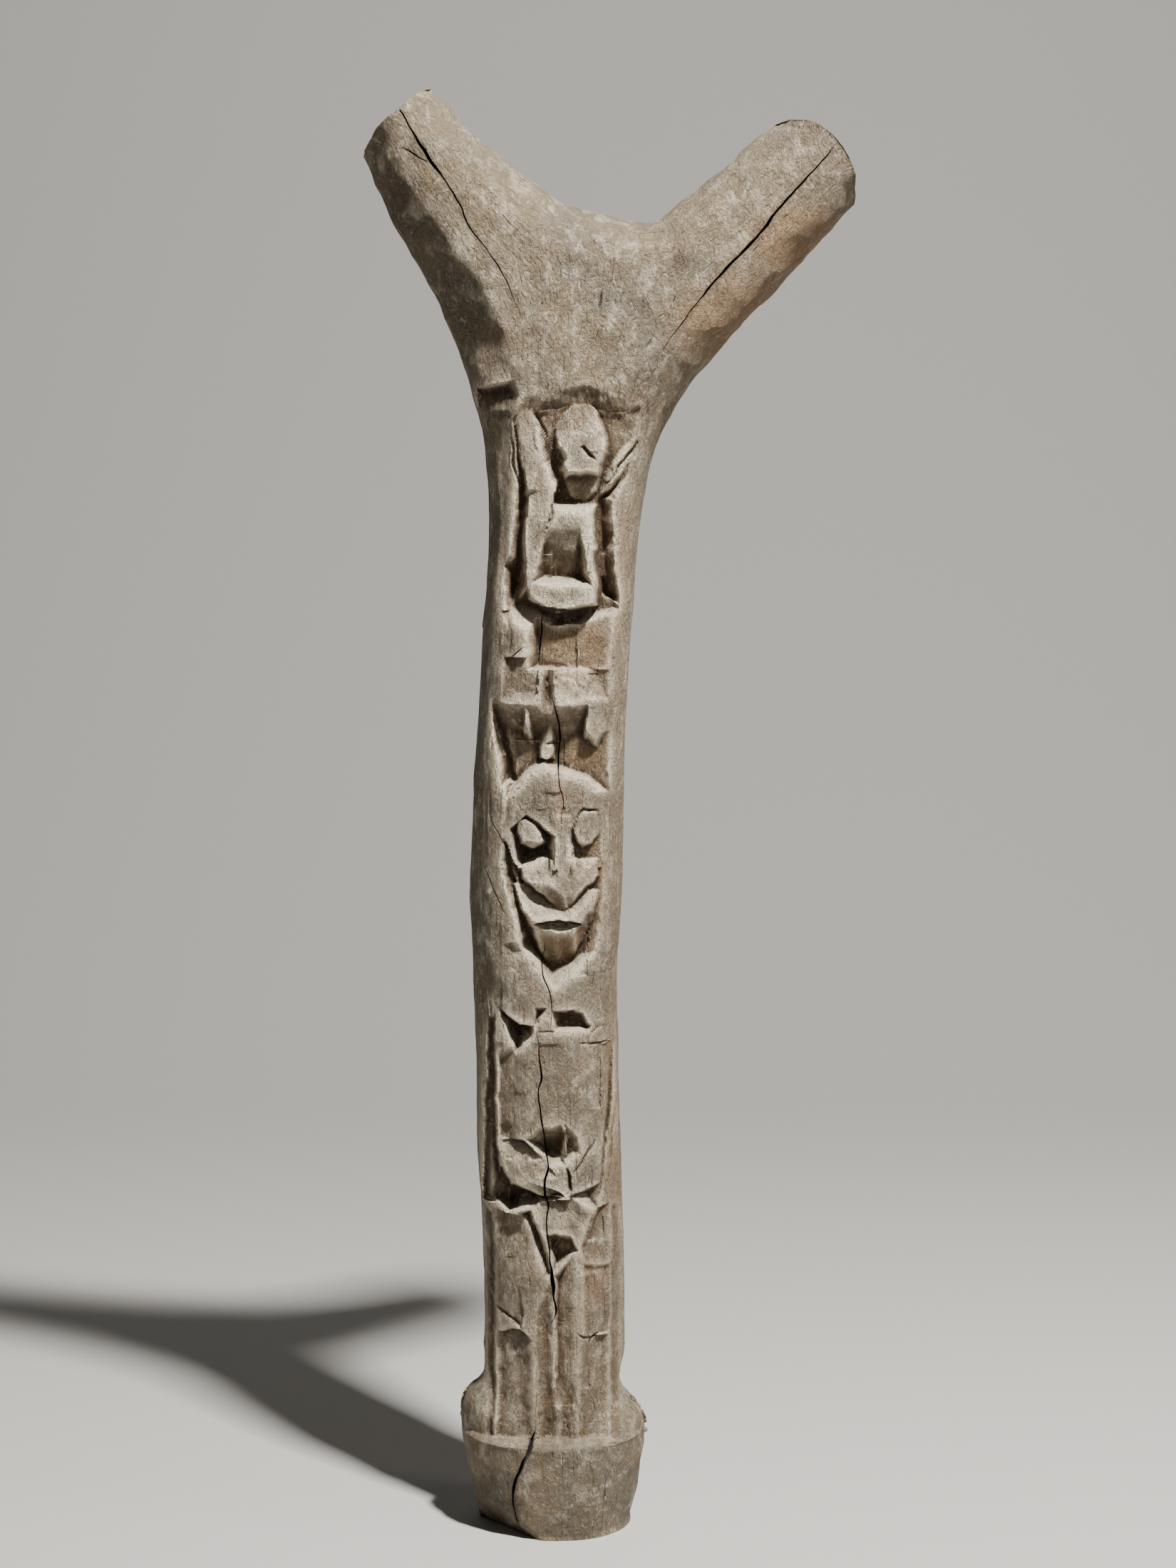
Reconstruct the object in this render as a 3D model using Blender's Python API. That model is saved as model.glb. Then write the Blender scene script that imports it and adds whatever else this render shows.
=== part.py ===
"""A forked log carved on its front with two figures, one above the other, standing on a plinth cut from the same log.

The whole post is one piece of wood. It is worked out in carver's units: 1 unit is 1 mm on the real post, x runs to
the right, z runs up from the underside, and every height is measured forwards from the post's middle plane. The last
step turns units into metres with the driving sizes below, so each of them can be changed by itself.
"""

import bpy
import numpy as np

# Driving sizes in metres
OVERALL_HEIGHT = 0.950
PLINTH_HEIGHT = 0.064
PLINTH_WIDTH = 0.124
PLINTH_DEPTH = 0.116
STEM_WIDTH = 0.097
STEM_DEPTH = 0.092
FORK_SPREAD = 0.320
ARM_DEPTH = 0.076
RELIEF_DEPTH = 0.018
FACES_KEPT = 9400
GROUND_SNAP = 0.0004

# The same sizes in carver's units, as the outlines below are drawn
DRAWN_HEIGHT = 950
DRAWN_PLINTH = 64
DRAWN = {"plinth": (124, 116), "stem": (97, 92), "fork": (320, 76)}
DRAWN_RELIEF = 18
ZONE_HEIGHTS = (78, 100, 640, 860)

# Outlines seen from the front, as (x, z) from the ground up
LEFT_SIDE = [(-49, 0), (-52, 12), (-56, 30), (-60, 50), (-62, 66), (-62, 77), (-59, 88), (-50, 97), (-47, 122),
             (-46.5, 165), (-48, 209), (-51.5, 260), (-52.5, 325), (-54, 382), (-55.4, 430), (-54, 468),
             (-51, 525), (-48, 581), (-44.5, 625), (-43, 665), (-43.4, 700), (-46, 728), (-52, 748), (-65, 789),
             (-89, 835), (-111, 877), (-123, 905)]
RIGHT_SIDE = [(52, 0), (55, 12), (58, 30), (61, 50), (62, 64), (60.5, 73), (55, 81), (48.5, 88), (48, 120),
              (47.6, 180), (45.1, 267), (43.8, 330), (43.4, 382), (46.2, 430), (47, 480), (48.5, 530),
              (51, 581), (54.5, 630), (59, 668), (67, 712), (76, 735), (90, 757), (113, 784), (148, 821),
              (171, 846), (197, 874)]
CROTCH = (38, 868)
LEFT_CROTCH = [CROTCH, (24, 871), (8, 876), (-12, 890), (-33, 907), (-53, 923), (-68, 940), (-79, 950)]
RIGHT_CROTCH = [CROTCH, (50, 865), (64, 863), (84, 878), (115, 903), (145, 928)]
LEFT_END = [(-123, 905), (-114, 920), (-98, 934), (-79, 950)]
RIGHT_END = [(197, 874), (193, 899), (183, 915), (166, 926), (145, 928)]
HEART = [(0, 0), (0, 100), (0.4, 180), (-3, 260), (-5, 340), (-4.5, 430), (-2.5, 500), (0, 553), (4, 610),
         (8, 665), (12, 700), (22, 750), (34, 810), CROTCH]
FAN_START = 690
FAN_OUTER = {"left": 789, "right": 784}

# How far the round surface stands out in front of and behind the middle plane, by height and then along an arm
FRONT_DEPTH = [(0, 54), (30, 57), (61, 58), (63.2, 57), (66, 44), (100, 45.5), (200, 47), (700, 47), (800, 45), (868, 42)]
BACK_DEPTH = [(0, 53), (30, 56), (58, 57), (85, 48), (110, 45), (700, 45), (800, 43), (868, 41)]
ARM_END_DEPTH = 36
ROUNDNESS = 2.3

# Fineness of the grid before it is thinned
COLUMNS = 34
ARM_ROWS = 34
CAP_ROWS = 12

ARRIS = 0.5
OPEN = 30.0


def along_path(path, count):
    """Points evenly spaced along a smooth curve through the path."""
    corners = np.array(path, float)
    steps = np.hypot(*np.diff(corners, axis=0).T)
    way = np.concatenate([[0], np.cumsum(steps)])
    even = np.linspace(0, way[-1], count)
    return np.stack([smooth_curve(even, way, corners[:, axis]) for axis in (0, 1)], axis=1)


def smooth_curve(at, places, values):
    """A curve through the values whose slope at each is the mean slope of its two neighbours."""
    places, values = np.asarray(places, float), np.asarray(values, float)
    slopes = np.gradient(values, places)
    spot = np.clip(np.searchsorted(places, at, side="right") - 1, 0, len(places) - 2)
    gap = places[spot + 1] - places[spot]
    t = (at - places[spot]) / gap
    start = (1 + 2 * t) * (1 - t) ** 2 * values[spot] + t * (1 - t) ** 2 * gap * slopes[spot]
    end = t * t * (3 - 2 * t) * values[spot + 1] - t * t * (1 - t) * gap * slopes[spot + 1]
    return start + end


def by_height(pairs, z):
    """The first number of each pair, read off at height z."""
    return smooth_curve(z, [pair[1] for pair in pairs], [pair[0] for pair in pairs])


def level(pairs, z):
    """The second number of each pair, read off at height z in straight steps."""
    return np.interp(z, [pair[0] for pair in pairs], [pair[1] for pair in pairs])


def ramp(value, low, high):
    """0 below low, 1 above high, with a soft start and end."""
    t = np.clip((value - low) / (high - low), 0, 1)
    return t * t * (3 - 2 * t)


def soft_min(a, b, rounding=ARRIS):
    """The lower of two surfaces, with their meeting line worn round."""
    mix = np.clip(0.5 + 0.5 * (b - a) / rounding, 0, 1)
    return b * (1 - mix) + a * mix - rounding * mix * (1 - mix)


def soft_max(a, b, rounding=ARRIS):
    return -soft_min(-a, -b, rounding)


def inside(x, z, start, end):
    """How far a point lies to the left of the line from start to end."""
    run, rise = end[0] - start[0], end[1] - start[1]
    return (run * (z - start[1]) - rise * (x - start[0])) / np.hypot(run, rise)


def to_path(x, z, path):
    """The distance to a path, and the share of its length at which the nearest point lies."""
    lengths = [np.hypot(b[0] - a[0], b[1] - a[1]) for a, b in zip(path, path[1:])]
    nearest, share, done = np.full(np.shape(x), 1e9), np.zeros(np.shape(x)), 0.0
    for a, b, length in zip(path, path[1:], lengths):
        t = np.clip(((x - a[0]) * (b[0] - a[0]) + (z - a[1]) * (b[1] - a[1])) / length**2, 0, 1)
        gap = np.hypot(x - a[0] - t * (b[0] - a[0]), z - a[1] - t * (b[1] - a[1]))
        share = np.where(gap < nearest, (done + t * length) / sum(lengths), share)
        nearest = np.minimum(nearest, gap)
        done += length
    return nearest, share


class Carving:
    """The carved front: the log's round skin, then what each tool cut takes off it."""

    def __init__(self, x, z, skin):
        self.x, self.z, self.skin, self.shape = x, z, skin, skin

    def slope(self, x, z, height, across=0.0, up=0.0):
        """A flat face through one point that rises to the right by across and upwards by up."""
        return height + across * (self.x - x) + up * (self.z - z)

    def hollow(self, name, corners, walls, floor):
        """Cut a pocket inside the corners, with one wall's steepness to each edge, down to its floor."""
        cut = floor
        for start, end, steep in zip(corners, corners[1:] + corners[:1], walls):
            cut = np.maximum(cut, self.skin - steep * inside(self.x, self.z, start, end))
        self.shape = soft_min(self.shape, cut)

    def stand(self, name, corners, walls, foot, *tops):
        """Leave a form standing in a pocket: walls that rise from its foot, under its top faces."""
        form = tops[0]
        for top in tops[1:]:
            form = soft_min(form, top)
        for start, end, steep in zip(corners, corners[1:] + corners[:1], walls):
            form = soft_min(form, foot + steep * inside(self.x, self.z, start, end))
        self.raise_to(form)

    def raise_to(self, form):
        """Leave the wood at least as high as this form, but never above the log's skin."""
        self.shape = np.minimum(soft_max(self.shape, form), self.skin)

    def bar(self, path, half, height, steep=1.3, flat=0.5):
        """A rounded bar along a path: flat on top, then falling steeply away."""
        gap, _ = to_path(self.x, self.z, path)
        return height - steep * np.maximum(gap - flat * half, 0) - 0.04 * gap

    def score(self, name, path, half, depth):
        """A narrow cut along a path, shallower at its two ends."""
        gap, share = to_path(self.x, self.z, path)
        fade = np.sqrt(np.maximum(np.sin(np.pi * np.clip(share, 0, 1)), 1e-4))
        self.shape = self.shape - depth * fade * np.clip(1 - gap / (half * fade), 0, 1)

    def dish(self, form, centre, reach, depth, turn):
        """Press an oval dish into a form."""
        cos, sin = np.cos(np.radians(turn)), np.sin(np.radians(turn))
        a = ((self.x - centre[0]) * cos + (self.z - centre[1]) * sin) / reach[0]
        b = ((self.z - centre[1]) * cos - (self.x - centre[0]) * sin) / reach[1]
        return form - depth * np.clip(1 - np.hypot(a, b), 0, 1) ** 0.7


def carve_upper_field(c):
    """The sunk ground round the upper figure, which rises to meet the fork above its crown."""
    ground = c.slope(0, 684, 31.3, up=0.10)
    c.hollow("round the head and the raised arms", [(-27, 684), (40, 684), (66, 730), (57, 744), (24, 758), (-16, 752),
                                                    (-25, 738)], [OPEN, 2.0, 1.6, 0.9, 0.9, 1.6, 2.0], ground)
    c.hollow("beside the trunk", [(-31, 608), (-19, 600), (30, 604), (43, 613), (38, 690), (-27, 690)],
             [1.3, OPEN, 2.2, 1.8, OPEN, 1.7], c.slope(0, 640, 28.5, up=0.065))
    c.hollow("deep left channel", [(-32, 641), (-30, 610), (-27, 602), (-21, 612), (-18, 640), (-19, 652)],
             [2.4, 2.4, 1.8, OPEN, OPEN, OPEN], c.slope(0, 640, 22))
    c.hollow("upper part of the left channel", [(-32, 650), (-30, 628), (-18, 628), (-9, 674), (-16, 674)],
             [2.4, OPEN, OPEN, 2.2, 2.2], c.slope(0, 640, 23))
    c.hollow("deep right pit", [(31, 615), (43, 615), (43.5, 622), (39, 640), (31, 640)],
             [1.8, 2.2, 2.2, 2.4, OPEN], c.slope(0, 640, 22))
    c.hollow("hollow at the left edge", [(-47, 740), (-24, 742), (-20, 750), (-26, 759), (-48, 757)],
             [0.5, 0.6, 1.2, 1.8, OPEN], c.skin - 8)


def carve_upper_figure(c):
    """The small figure with raised arms: an egg-shaped head, a trunk with a sunk belly, and a blunt hip."""
    head = [(2, 705), (12, 687), (20, 682), (29, 688), (39, 712), (39, 726), (33, 741), (23, 753.5), (14, 752), (-2, 731)]
    c.stand("head", head, [2.4, 1.6, 1.6, 2.0, 2.4, 2.2, 2.4, 3.0, 2.6, 2.2], 32,
            c.slope(21, 722, 47.5, up=-0.30), c.slope(10, 722, 45.5, across=0.50, up=-0.22),
            c.slope(31, 722, 45.5, across=-0.50, up=-0.22), c.slope(19, 716, 47.5, up=0.10),
            np.maximum(c.slope(17, 702, 45.5, up=2.2), c.slope(17, 690, 34.5, up=0.25, across=0.10)))
    c.shape = c.dish(c.shape, (6, 711), (3.6, 7), 6, 8)
    c.hollow("cut under the right brow", [(18, 717), (23, 711), (29, 708), (28.5, 711), (21, 719.5)],
             [1.2, 1.2, 2, 3, 3], c.slope(24, 713, 39.5))
    c.stand("left raised arm", [(-26, 728), (-23, 700), (-20, 678), (0, 678), (0, 712), (-5, 730), (-9, 745),
                                (-19, 747), (-28, 739)], [3.0, 3.0, 1.0, 2.4, 2.4, 2.4, 3.0, 3.0, 3.0], 31,
            c.slope(-12, 715, 43, across=0.05, up=-0.07), c.slope(-20, 715, 41.5, across=0.55),
            c.slope(-5, 715, 42.0, across=-0.35))
    c.stand("left shoulder and flank", [(-21, 620), (-16, 620), (-12, 633), (-2, 668), (5, 700), (-2, 716), (-13, 708),
                                        (-18, 690), (-21, 655)], [1.5, OPEN, OPEN, OPEN, 2.4, 2.4, OPEN, 3.0, 3.0], 29,
            c.slope(-10, 670, 42.6, across=0.14))
    c.score("left arm's split", [(-10, 741), (-8, 733), (-5, 729), (-3, 723)], 1.2, 2.5)
    c.score("left arm's inner edge", [(-13, 729), (-11, 720), (-8, 714)], 1.1, 1.5)
    c.stand("right raised arm", [(29, 683), (38, 688), (50, 705), (64, 727), (61, 732), (52, 729), (39, 714), (31, 697)],
            [2.0, 2.4, 2.4, 2.2, 2.2, 1.8, 1.8, 1.6], 31, c.slope(46, 708, 42.5, across=-0.10, up=-0.12),
            c.slope(40, 710, 43, across=0.5, up=-0.5))
    c.score("right arm's two strips", [(56, 723), (51, 715), (43, 706), (39, 698), (34, 694)], 1.6, 4.5)
    c.raise_to(c.bar([(-27, 740), (-25, 712), (-25, 693), (-29, 668), (-32, 650)], 4.5, 38.5))
    c.score("line left of the arm", [(-27, 726), (-25, 716), (-25.5, 706), (-22, 697), (-20, 688)], 1.3, 3)
    chest = (c.slope(12, 672, 45.2, up=-0.16), c.slope(10, 650, 45), c.slope(-11, 650, 43.5, across=0.35),
             c.slope(25, 650, 43.5, across=-0.4))
    belly = np.maximum(c.slope(5, 664, 44, up=0.42), c.slope(5, 634, 32, up=-2.4))
    for start, end in (((-3, 667), (-14, 634)), ((25, 632), (17.5, 667))):
        belly = soft_max(belly, 44.5 - 1.8 * inside(c.x, c.z, start, end))
    c.stand("trunk", [(-20, 631), (-17, 619), (-5, 612), (6, 610), (16, 612.5), (30, 615), (31, 634), (30, 682),
                      (-2, 684), (-11, 664)], [4.0, 4.5, 5.0, 5.0, 5.0, 3.5, 3.0, 2.4, 2.0, 2.6], 29, *chest, belly,
            c.slope(5, 628, 45.5, up=0.10))


def carve_upper_breasts(c):
    """The neck of the large figure, and its first pair of breasts: lit top faces over deep undersides."""
    c.hollow("neck", [(-18, 575), (37, 575), (44, 612), (-18, 616)], [OPEN, 1.0, OPEN, 1.8],
             c.slope(0, 600, 31.5, across=0.06, up=-0.02))
    c.hollow("slot left of the neck", [(-33, 612), (-28, 599), (-24, 612)], [1.6, 1.6, OPEN], c.slope(-28, 605, 28))
    c.hollow("left shoulder face", [(-43, 553), (-9, 553), (-9, 578), (-18, 583.5), (-42, 582.5)],
             [0.42, OPEN, OPEN, 4.0, 0.8], np.maximum(c.slope(-9, 581, 33, across=-0.14), c.skin - 4.5))
    c.hollow("right shoulder face", [(2, 553), (38, 553), (39, 572), (32, 580), (2, 578)],
             [0.42, 0.8, 1.0, OPEN, OPEN], c.slope(20, 578, 33))
    c.hollow("strip between the breasts", [(-9, 538), (3, 538), (3, 580), (-9, 580)], [1.6, 1.8, OPEN, 1.8],
             c.slope(-3, 556, 38.5, up=-0.10))
    c.hollow("sunk ground below the breasts", [(-30, 491), (37, 491), (38, 552), (-40, 553), (-37, 520)],
             [OPEN, 1.4, 0.75, 3.5, 3.5], c.slope(0, 527, 29, across=0.05, up=0.05))
    c.hollow("deep under the left breast", [(-34, 498), (-26, 494), (-13, 527), (-21, 549), (-39, 551)],
             [3.0, OPEN, 1.0, 0.9, 3.0], c.slope(-25, 520, 24, across=0.10, up=0.08))
    c.hollow("deep under the right breast", [(3, 529), (20, 531), (20, 549), (3, 550)], [2.0, 1.4, 0.9, 2.4],
             c.slope(12, 535, 28))
    c.stand("inner flank of the left breast", [(-21, 553), (-19, 530), (-12, 527), (-8, 540), (-8, 553)],
            [2.4, 1.0, 1.2, OPEN, OPEN], 28, c.slope(-15, 545, 41, across=-0.45, up=0.22))
    c.stand("outer flank of the right breast", [(20, 553), (20, 531), (29, 523), (39, 538), (38, 553)],
            [2.2, 1.0, 1.0, OPEN, OPEN], 29, c.slope(28, 540, 39, across=-0.30, up=0.28))
    c.stand("post between them", [(-12, 516), (3, 516), (3.5, 540), (2, 552), (-9, 552), (-9, 540)],
            [OPEN, 2.2, OPEN, OPEN, OPEN, 1.5], 27, c.slope(-3, 545, 39, up=0.06), c.slope(-6, 530, 36, up=0.12))
    c.hollow("notch in the post", [(-5, 530), (3.5, 530), (3.5, 534), (-1, 536.5)], [1.4, OPEN, 2.5, 2.5],
             c.slope(0, 532, 31))
    c.score("ledge above the brow", [(-5, 526), (4, 526)], 1.3, 3)


def carve_face(c):
    """The mask-like face: a peaked forehead, two eye bosses in sockets, a broad wedge nose and a crescent mouth."""
    c.hollow("throat", [(-22, 394), (1, 366), (29, 391), (33, 436), (-28, 436)], [4.0, 3.0, 1.2, OPEN, 2.5],
             c.slope(0, 385, 28.5, across=0.12))
    c.hollow("ground of the mask", [(-29, 494), (-33, 470), (-32, 440), (-27, 418), (-15, 394), (22, 394), (31, 406),
                                    (35, 440), (37, 499), (4, 522)],
             [1.6, 1.7, 1.7, 1.7, OPEN, 1.2, 1.0, 1.0, OPEN, OPEN], c.slope(0, 440, 30.5, across=0.08))
    c.stand("forehead", [(4, 519), (-15, 510), (-30, 492), (-35, 470), (-22, 444), (33, 444), (37, 472), (38, 499),
                         (24, 504)], [5.0, 5.0, 4.0, OPEN, OPEN, OPEN, OPEN, 5.0, 5.0], 30,
            c.slope(4, 480, 46.3, across=0.20, up=-0.05), c.slope(4, 480, 46.3, across=-0.22, up=-0.05),
            c.slope(0, 505, 44.5, up=-0.22))
    c.hollow("left eye socket", [(-30, 470), (-25, 452), (-22, 442), (0, 442), (3.5, 466), (-8, 476), (-18, 482)],
             [2.4, 3.0, OPEN, 3.0, 3.5, 3.5, 3.0], c.slope(-10, 460, 29))
    c.hollow("right eye socket", [(12.5, 443.5), (31, 443.5), (34, 464), (31, 484), (19, 485.5), (11.5, 470)],
             [OPEN, 2.0, 2.0, 2.0, 2.6, 2.5], c.slope(20, 455, 35.8, across=-0.1, up=0.05))
    c.stand("left eye", [(-26, 468), (-22, 459.5), (-12, 456), (-3, 459.5), (-1.5, 464), (-8, 476), (-17, 480.5),
                         (-26, 478)], [3.2, 3.2, 3.2, 3.2, 3.2, 3.6, 3.6, 3.2], 30,
            c.slope(-13, 467, 43.8, up=-0.30), c.slope(-20, 469, 42.4, across=0.40, up=-0.20),
            c.slope(-7, 467, 43.2, across=-0.4, up=-0.25), c.slope(-13, 462, 43.5, up=1.4, across=0.15))
    c.stand("right eye", [(11.5, 469), (18.5, 458), (26, 461), (32, 470), (28.5, 481.5), (20, 484.5), (13, 477)],
            [3.0, 3.0, 3.0, 3.0, 3.5, 3.5, 3.0], 37, c.slope(16, 470, 44.6, up=-0.20, across=0.35),
            c.slope(24, 471, 45.6, across=-0.35, up=-0.30), c.slope(20, 463, 44, up=1.4))
    c.stand("left side of the nose", [(-23, 447), (-22, 438), (5, 411), (9, 420), (9, 457), (-4, 455.5)],
            [3.2, 3.2, OPEN, OPEN, 2.4, 3.2], 30, c.slope(-5, 440, 44.2, up=-0.42, across=0.08),
            c.slope(-15, 441, 42.5, up=-0.25, across=0.35), c.slope(-2, 430, 45.0, up=0.42, across=0.25))
    c.stand("right side of the nose", [(7, 413), (20, 427), (31, 440), (31, 451), (9, 451)],
            [3.0, 3.0, 2.6, 3.0, OPEN], 34, c.slope(15, 437, 44.6, up=-0.38, across=-0.14),
            c.slope(17, 431, 44.2, up=0.45, across=-0.30))
    c.stand("bridge and front of the nose", [(-1, 480), (-1.5, 462), (-1, 450), (2.5, 430), (4, 420), (10.5, 420),
                                             (12, 430), (14.5, 450), (15, 480)],
            [2.2, 2.2, 2.2, 2.2, OPEN, 2.4, 2.4, 2.4, OPEN], 36, c.slope(6, 450, 47.5), c.slope(6, 430, 46.3, up=0.35))
    bow = 0.020 * (c.x - 4) ** 2
    lip = 46.3 - 0.62 * (c.z - 410 - bow) - 0.10 * np.abs(c.x - 4)
    chin = c.slope(3, 403, 44.2, up=0.62) - 0.16 * np.abs(c.x - 3)
    c.stand("lower face", [(-27, 436), (-24, 419), (-19, 403), (-9, 388), (3, 368), (14, 380), (23, 396), (30, 410),
                           (34, 430)], [4.0, 4.0, 3.5, 2.4, 1.6, 1.3, 1.5, 2.0, OPEN], 28, lip, chin)
    c.hollow("mouth", [(-14, 409.5), (-6, 404.2), (3, 402.4), (12, 402.8), (21, 408.5), (12, 411), (-4, 410.8)],
             [6, 6, 6, 6, 6, 6, 6], c.slope(3, 409.5, 37.0, up=-0.85))
    c.raise_to(c.bar([(-27, 456), (-25, 446), (-21.5, 434)], 1.0, 36, steep=2.2))


def carve_lower_breasts(c):
    """The second pair of breasts, whose top faces rise out of the throat."""
    c.hollow("left top face", [(-34, 361), (-8, 357), (2, 358), (1, 369), (-22, 397), (-41, 394)],
             [0.35, OPEN, OPEN, OPEN, 0.6, 0.35], c.slope(-12, 360, 46.5, up=-0.14, across=0.06))
    c.hollow("right top face", [(0, 361), (18, 359), (33, 349), (40, 368), (36, 394), (29, 394), (1, 369)],
             [OPEN, 0.6, 0.35, 0.4, 0.6, OPEN, OPEN], c.slope(14, 360, 46.5, up=-0.17, across=-0.22))
    c.hollow("outer part under the left breast", [(-36, 354), (-24, 320), (-19, 326), (-21, 343)],
             [3.5, 2.4, OPEN, 5.0], c.slope(-24, 335, 29))
    c.hollow("inner part under the left breast", [(-23, 322), (-13, 333), (-12, 342), (-21, 343.5)],
             [2.0, 2.6, 5.0, OPEN], c.slope(-20, 335, 29))
    c.hollow("beside the left breast's tip", [(-12, 341), (-8, 343), (-3, 354.5), (-11, 354)], [2.0, 2.0, 2.2, 2.0],
             c.slope(-8, 350, 38, across=0.2))
    c.hollow("under the right breast", [(1, 338), (24, 337.5), (26, 341), (20, 349.5), (14, 353), (0.5, 352.5)],
             [4.0, 2.5, 1.8, 2.0, 3.0, 2.5], c.slope(12, 342, 33.5, up=0.10))
    c.score("edge of the belly's top", [(-11, 337.5), (-4, 338), (3, 337)], 0.9, 1.6)
    c.score("right of the right breast", [(24, 336), (30, 340), (36, 341)], 0.9, 1.6)
    c.score("lap on the right", [(18, 329.5), (26, 329), (39, 330.5)], 1.0, 3.2)


def carve_belly_and_hands(c):
    """The long belly, and the two hands that meet below it."""
    c.hollow("left of the belly", [(-46, 222), (-36, 222), (-36.5, 300), (-37.5, 347), (-43, 347), (-46, 285)],
             [OPEN, 2.6, 2.6, 1.2, 1.4, OPEN], c.skin - 5)
    c.hollow("left panel of the belly", [(-36, 268), (-9, 262), (-9, 338), (-36, 322)], [OPEN, OPEN, 0.6, 1.6],
             c.skin + 0.13 * (c.x + 9))
    c.hollow("right panel of the belly", [(20, 255), (39, 262), (40, 329), (20, 329)], [0.2, 0.8, OPEN, OPEN],
             c.skin - 0.13 * (c.x - 20))
    c.hollow("fold over the hands", [(-3, 249.5), (8.5, 249.5), (9, 272), (5, 277), (-9, 274.5), (-20, 268)],
             [3.0, 3.0, 1.6, 1.0, 1.0, 3.0], c.slope(4, 262, 33))
    c.hollow("right side of the fold", [(8, 250), (18, 257), (15.5, 268), (8, 278)], [1.6, 1.0, 1.0, OPEN],
             c.slope(9, 262, 38.5, across=0.45))
    c.hollow("upper face of the left hand", [(-34, 251), (-25, 243), (-10, 236), (5, 232), (8, 237), (-5, 253),
                                             (-20, 267), (-31, 267), (-36, 262)],
             [OPEN, OPEN, OPEN, OPEN, OPEN, OPEN, 3.0, 3.0, OPEN], c.slope(-12, 240, 46.4, up=-0.30, across=0.06))
    c.hollow("knuckles of the left hand", [(-30, 240), (-9, 229), (8, 229), (5, 232), (-25, 243)], [OPEN] * 5,
             c.slope(-12, 240, 46.5, up=0.50, across=0.03))
    c.hollow("left of the left hand", [(-43, 276), (-43, 228), (-36, 222), (-33.5, 248), (-38, 275)],
             [1.6, 4.0, OPEN, 3.0, 2.0], c.slope(-38, 240, 24))
    c.hollow("below the left wrist", [(-40, 226), (-29, 217), (-22, 221), (-24, 237), (-33.5, 248)],
             [4.0, OPEN, OPEN, 3.2, OPEN], c.slope(-30, 230, 24))
    c.hollow("below the left hand", [(-27, 218.5), (-8, 223), (-8, 231.3), (-26, 239)], [4.0, OPEN, 3.2, OPEN],
             c.slope(-20, 228, 25, across=0.2))
    c.hollow("below the finger tips", [(-9, 223), (6, 226), (8, 228.5), (-9, 231.5)], [3.0, 2.5, 3.2, OPEN],
             c.slope(-9, 228, 27.5, across=0.5))
    c.hollow("below the right hand", [(11, 226), (30, 219), (33, 238), (28, 236.5), (19, 232), (12, 230)],
             [1.2, 1.2, 2.0, 2.6, 2.6, 2.6], c.slope(20, 230, 35))
    c.hollow("upper face of the right hand", [(13, 246), (20, 240), (29, 252), (29, 264), (20, 257)],
             [OPEN, OPEN, 1.0, 2.5, 1.2], c.slope(18, 246, 46.5, up=-0.30))
    c.score("between the hands", [(9, 248), (11, 241), (11.5, 236), (13, 228)], 1.6, 5)
    c.score("edge of the right hand", [(29, 266), (20, 253), (13, 243)], 1.2, 2.5)
    c.score("right forearm", [(40, 335), (37, 285), (33.5, 250), (30, 225)], 1.6, 3)
    c.score("second line of the forearm", [(43, 300), (39, 260), (36, 232)], 1.2, 2)


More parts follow.
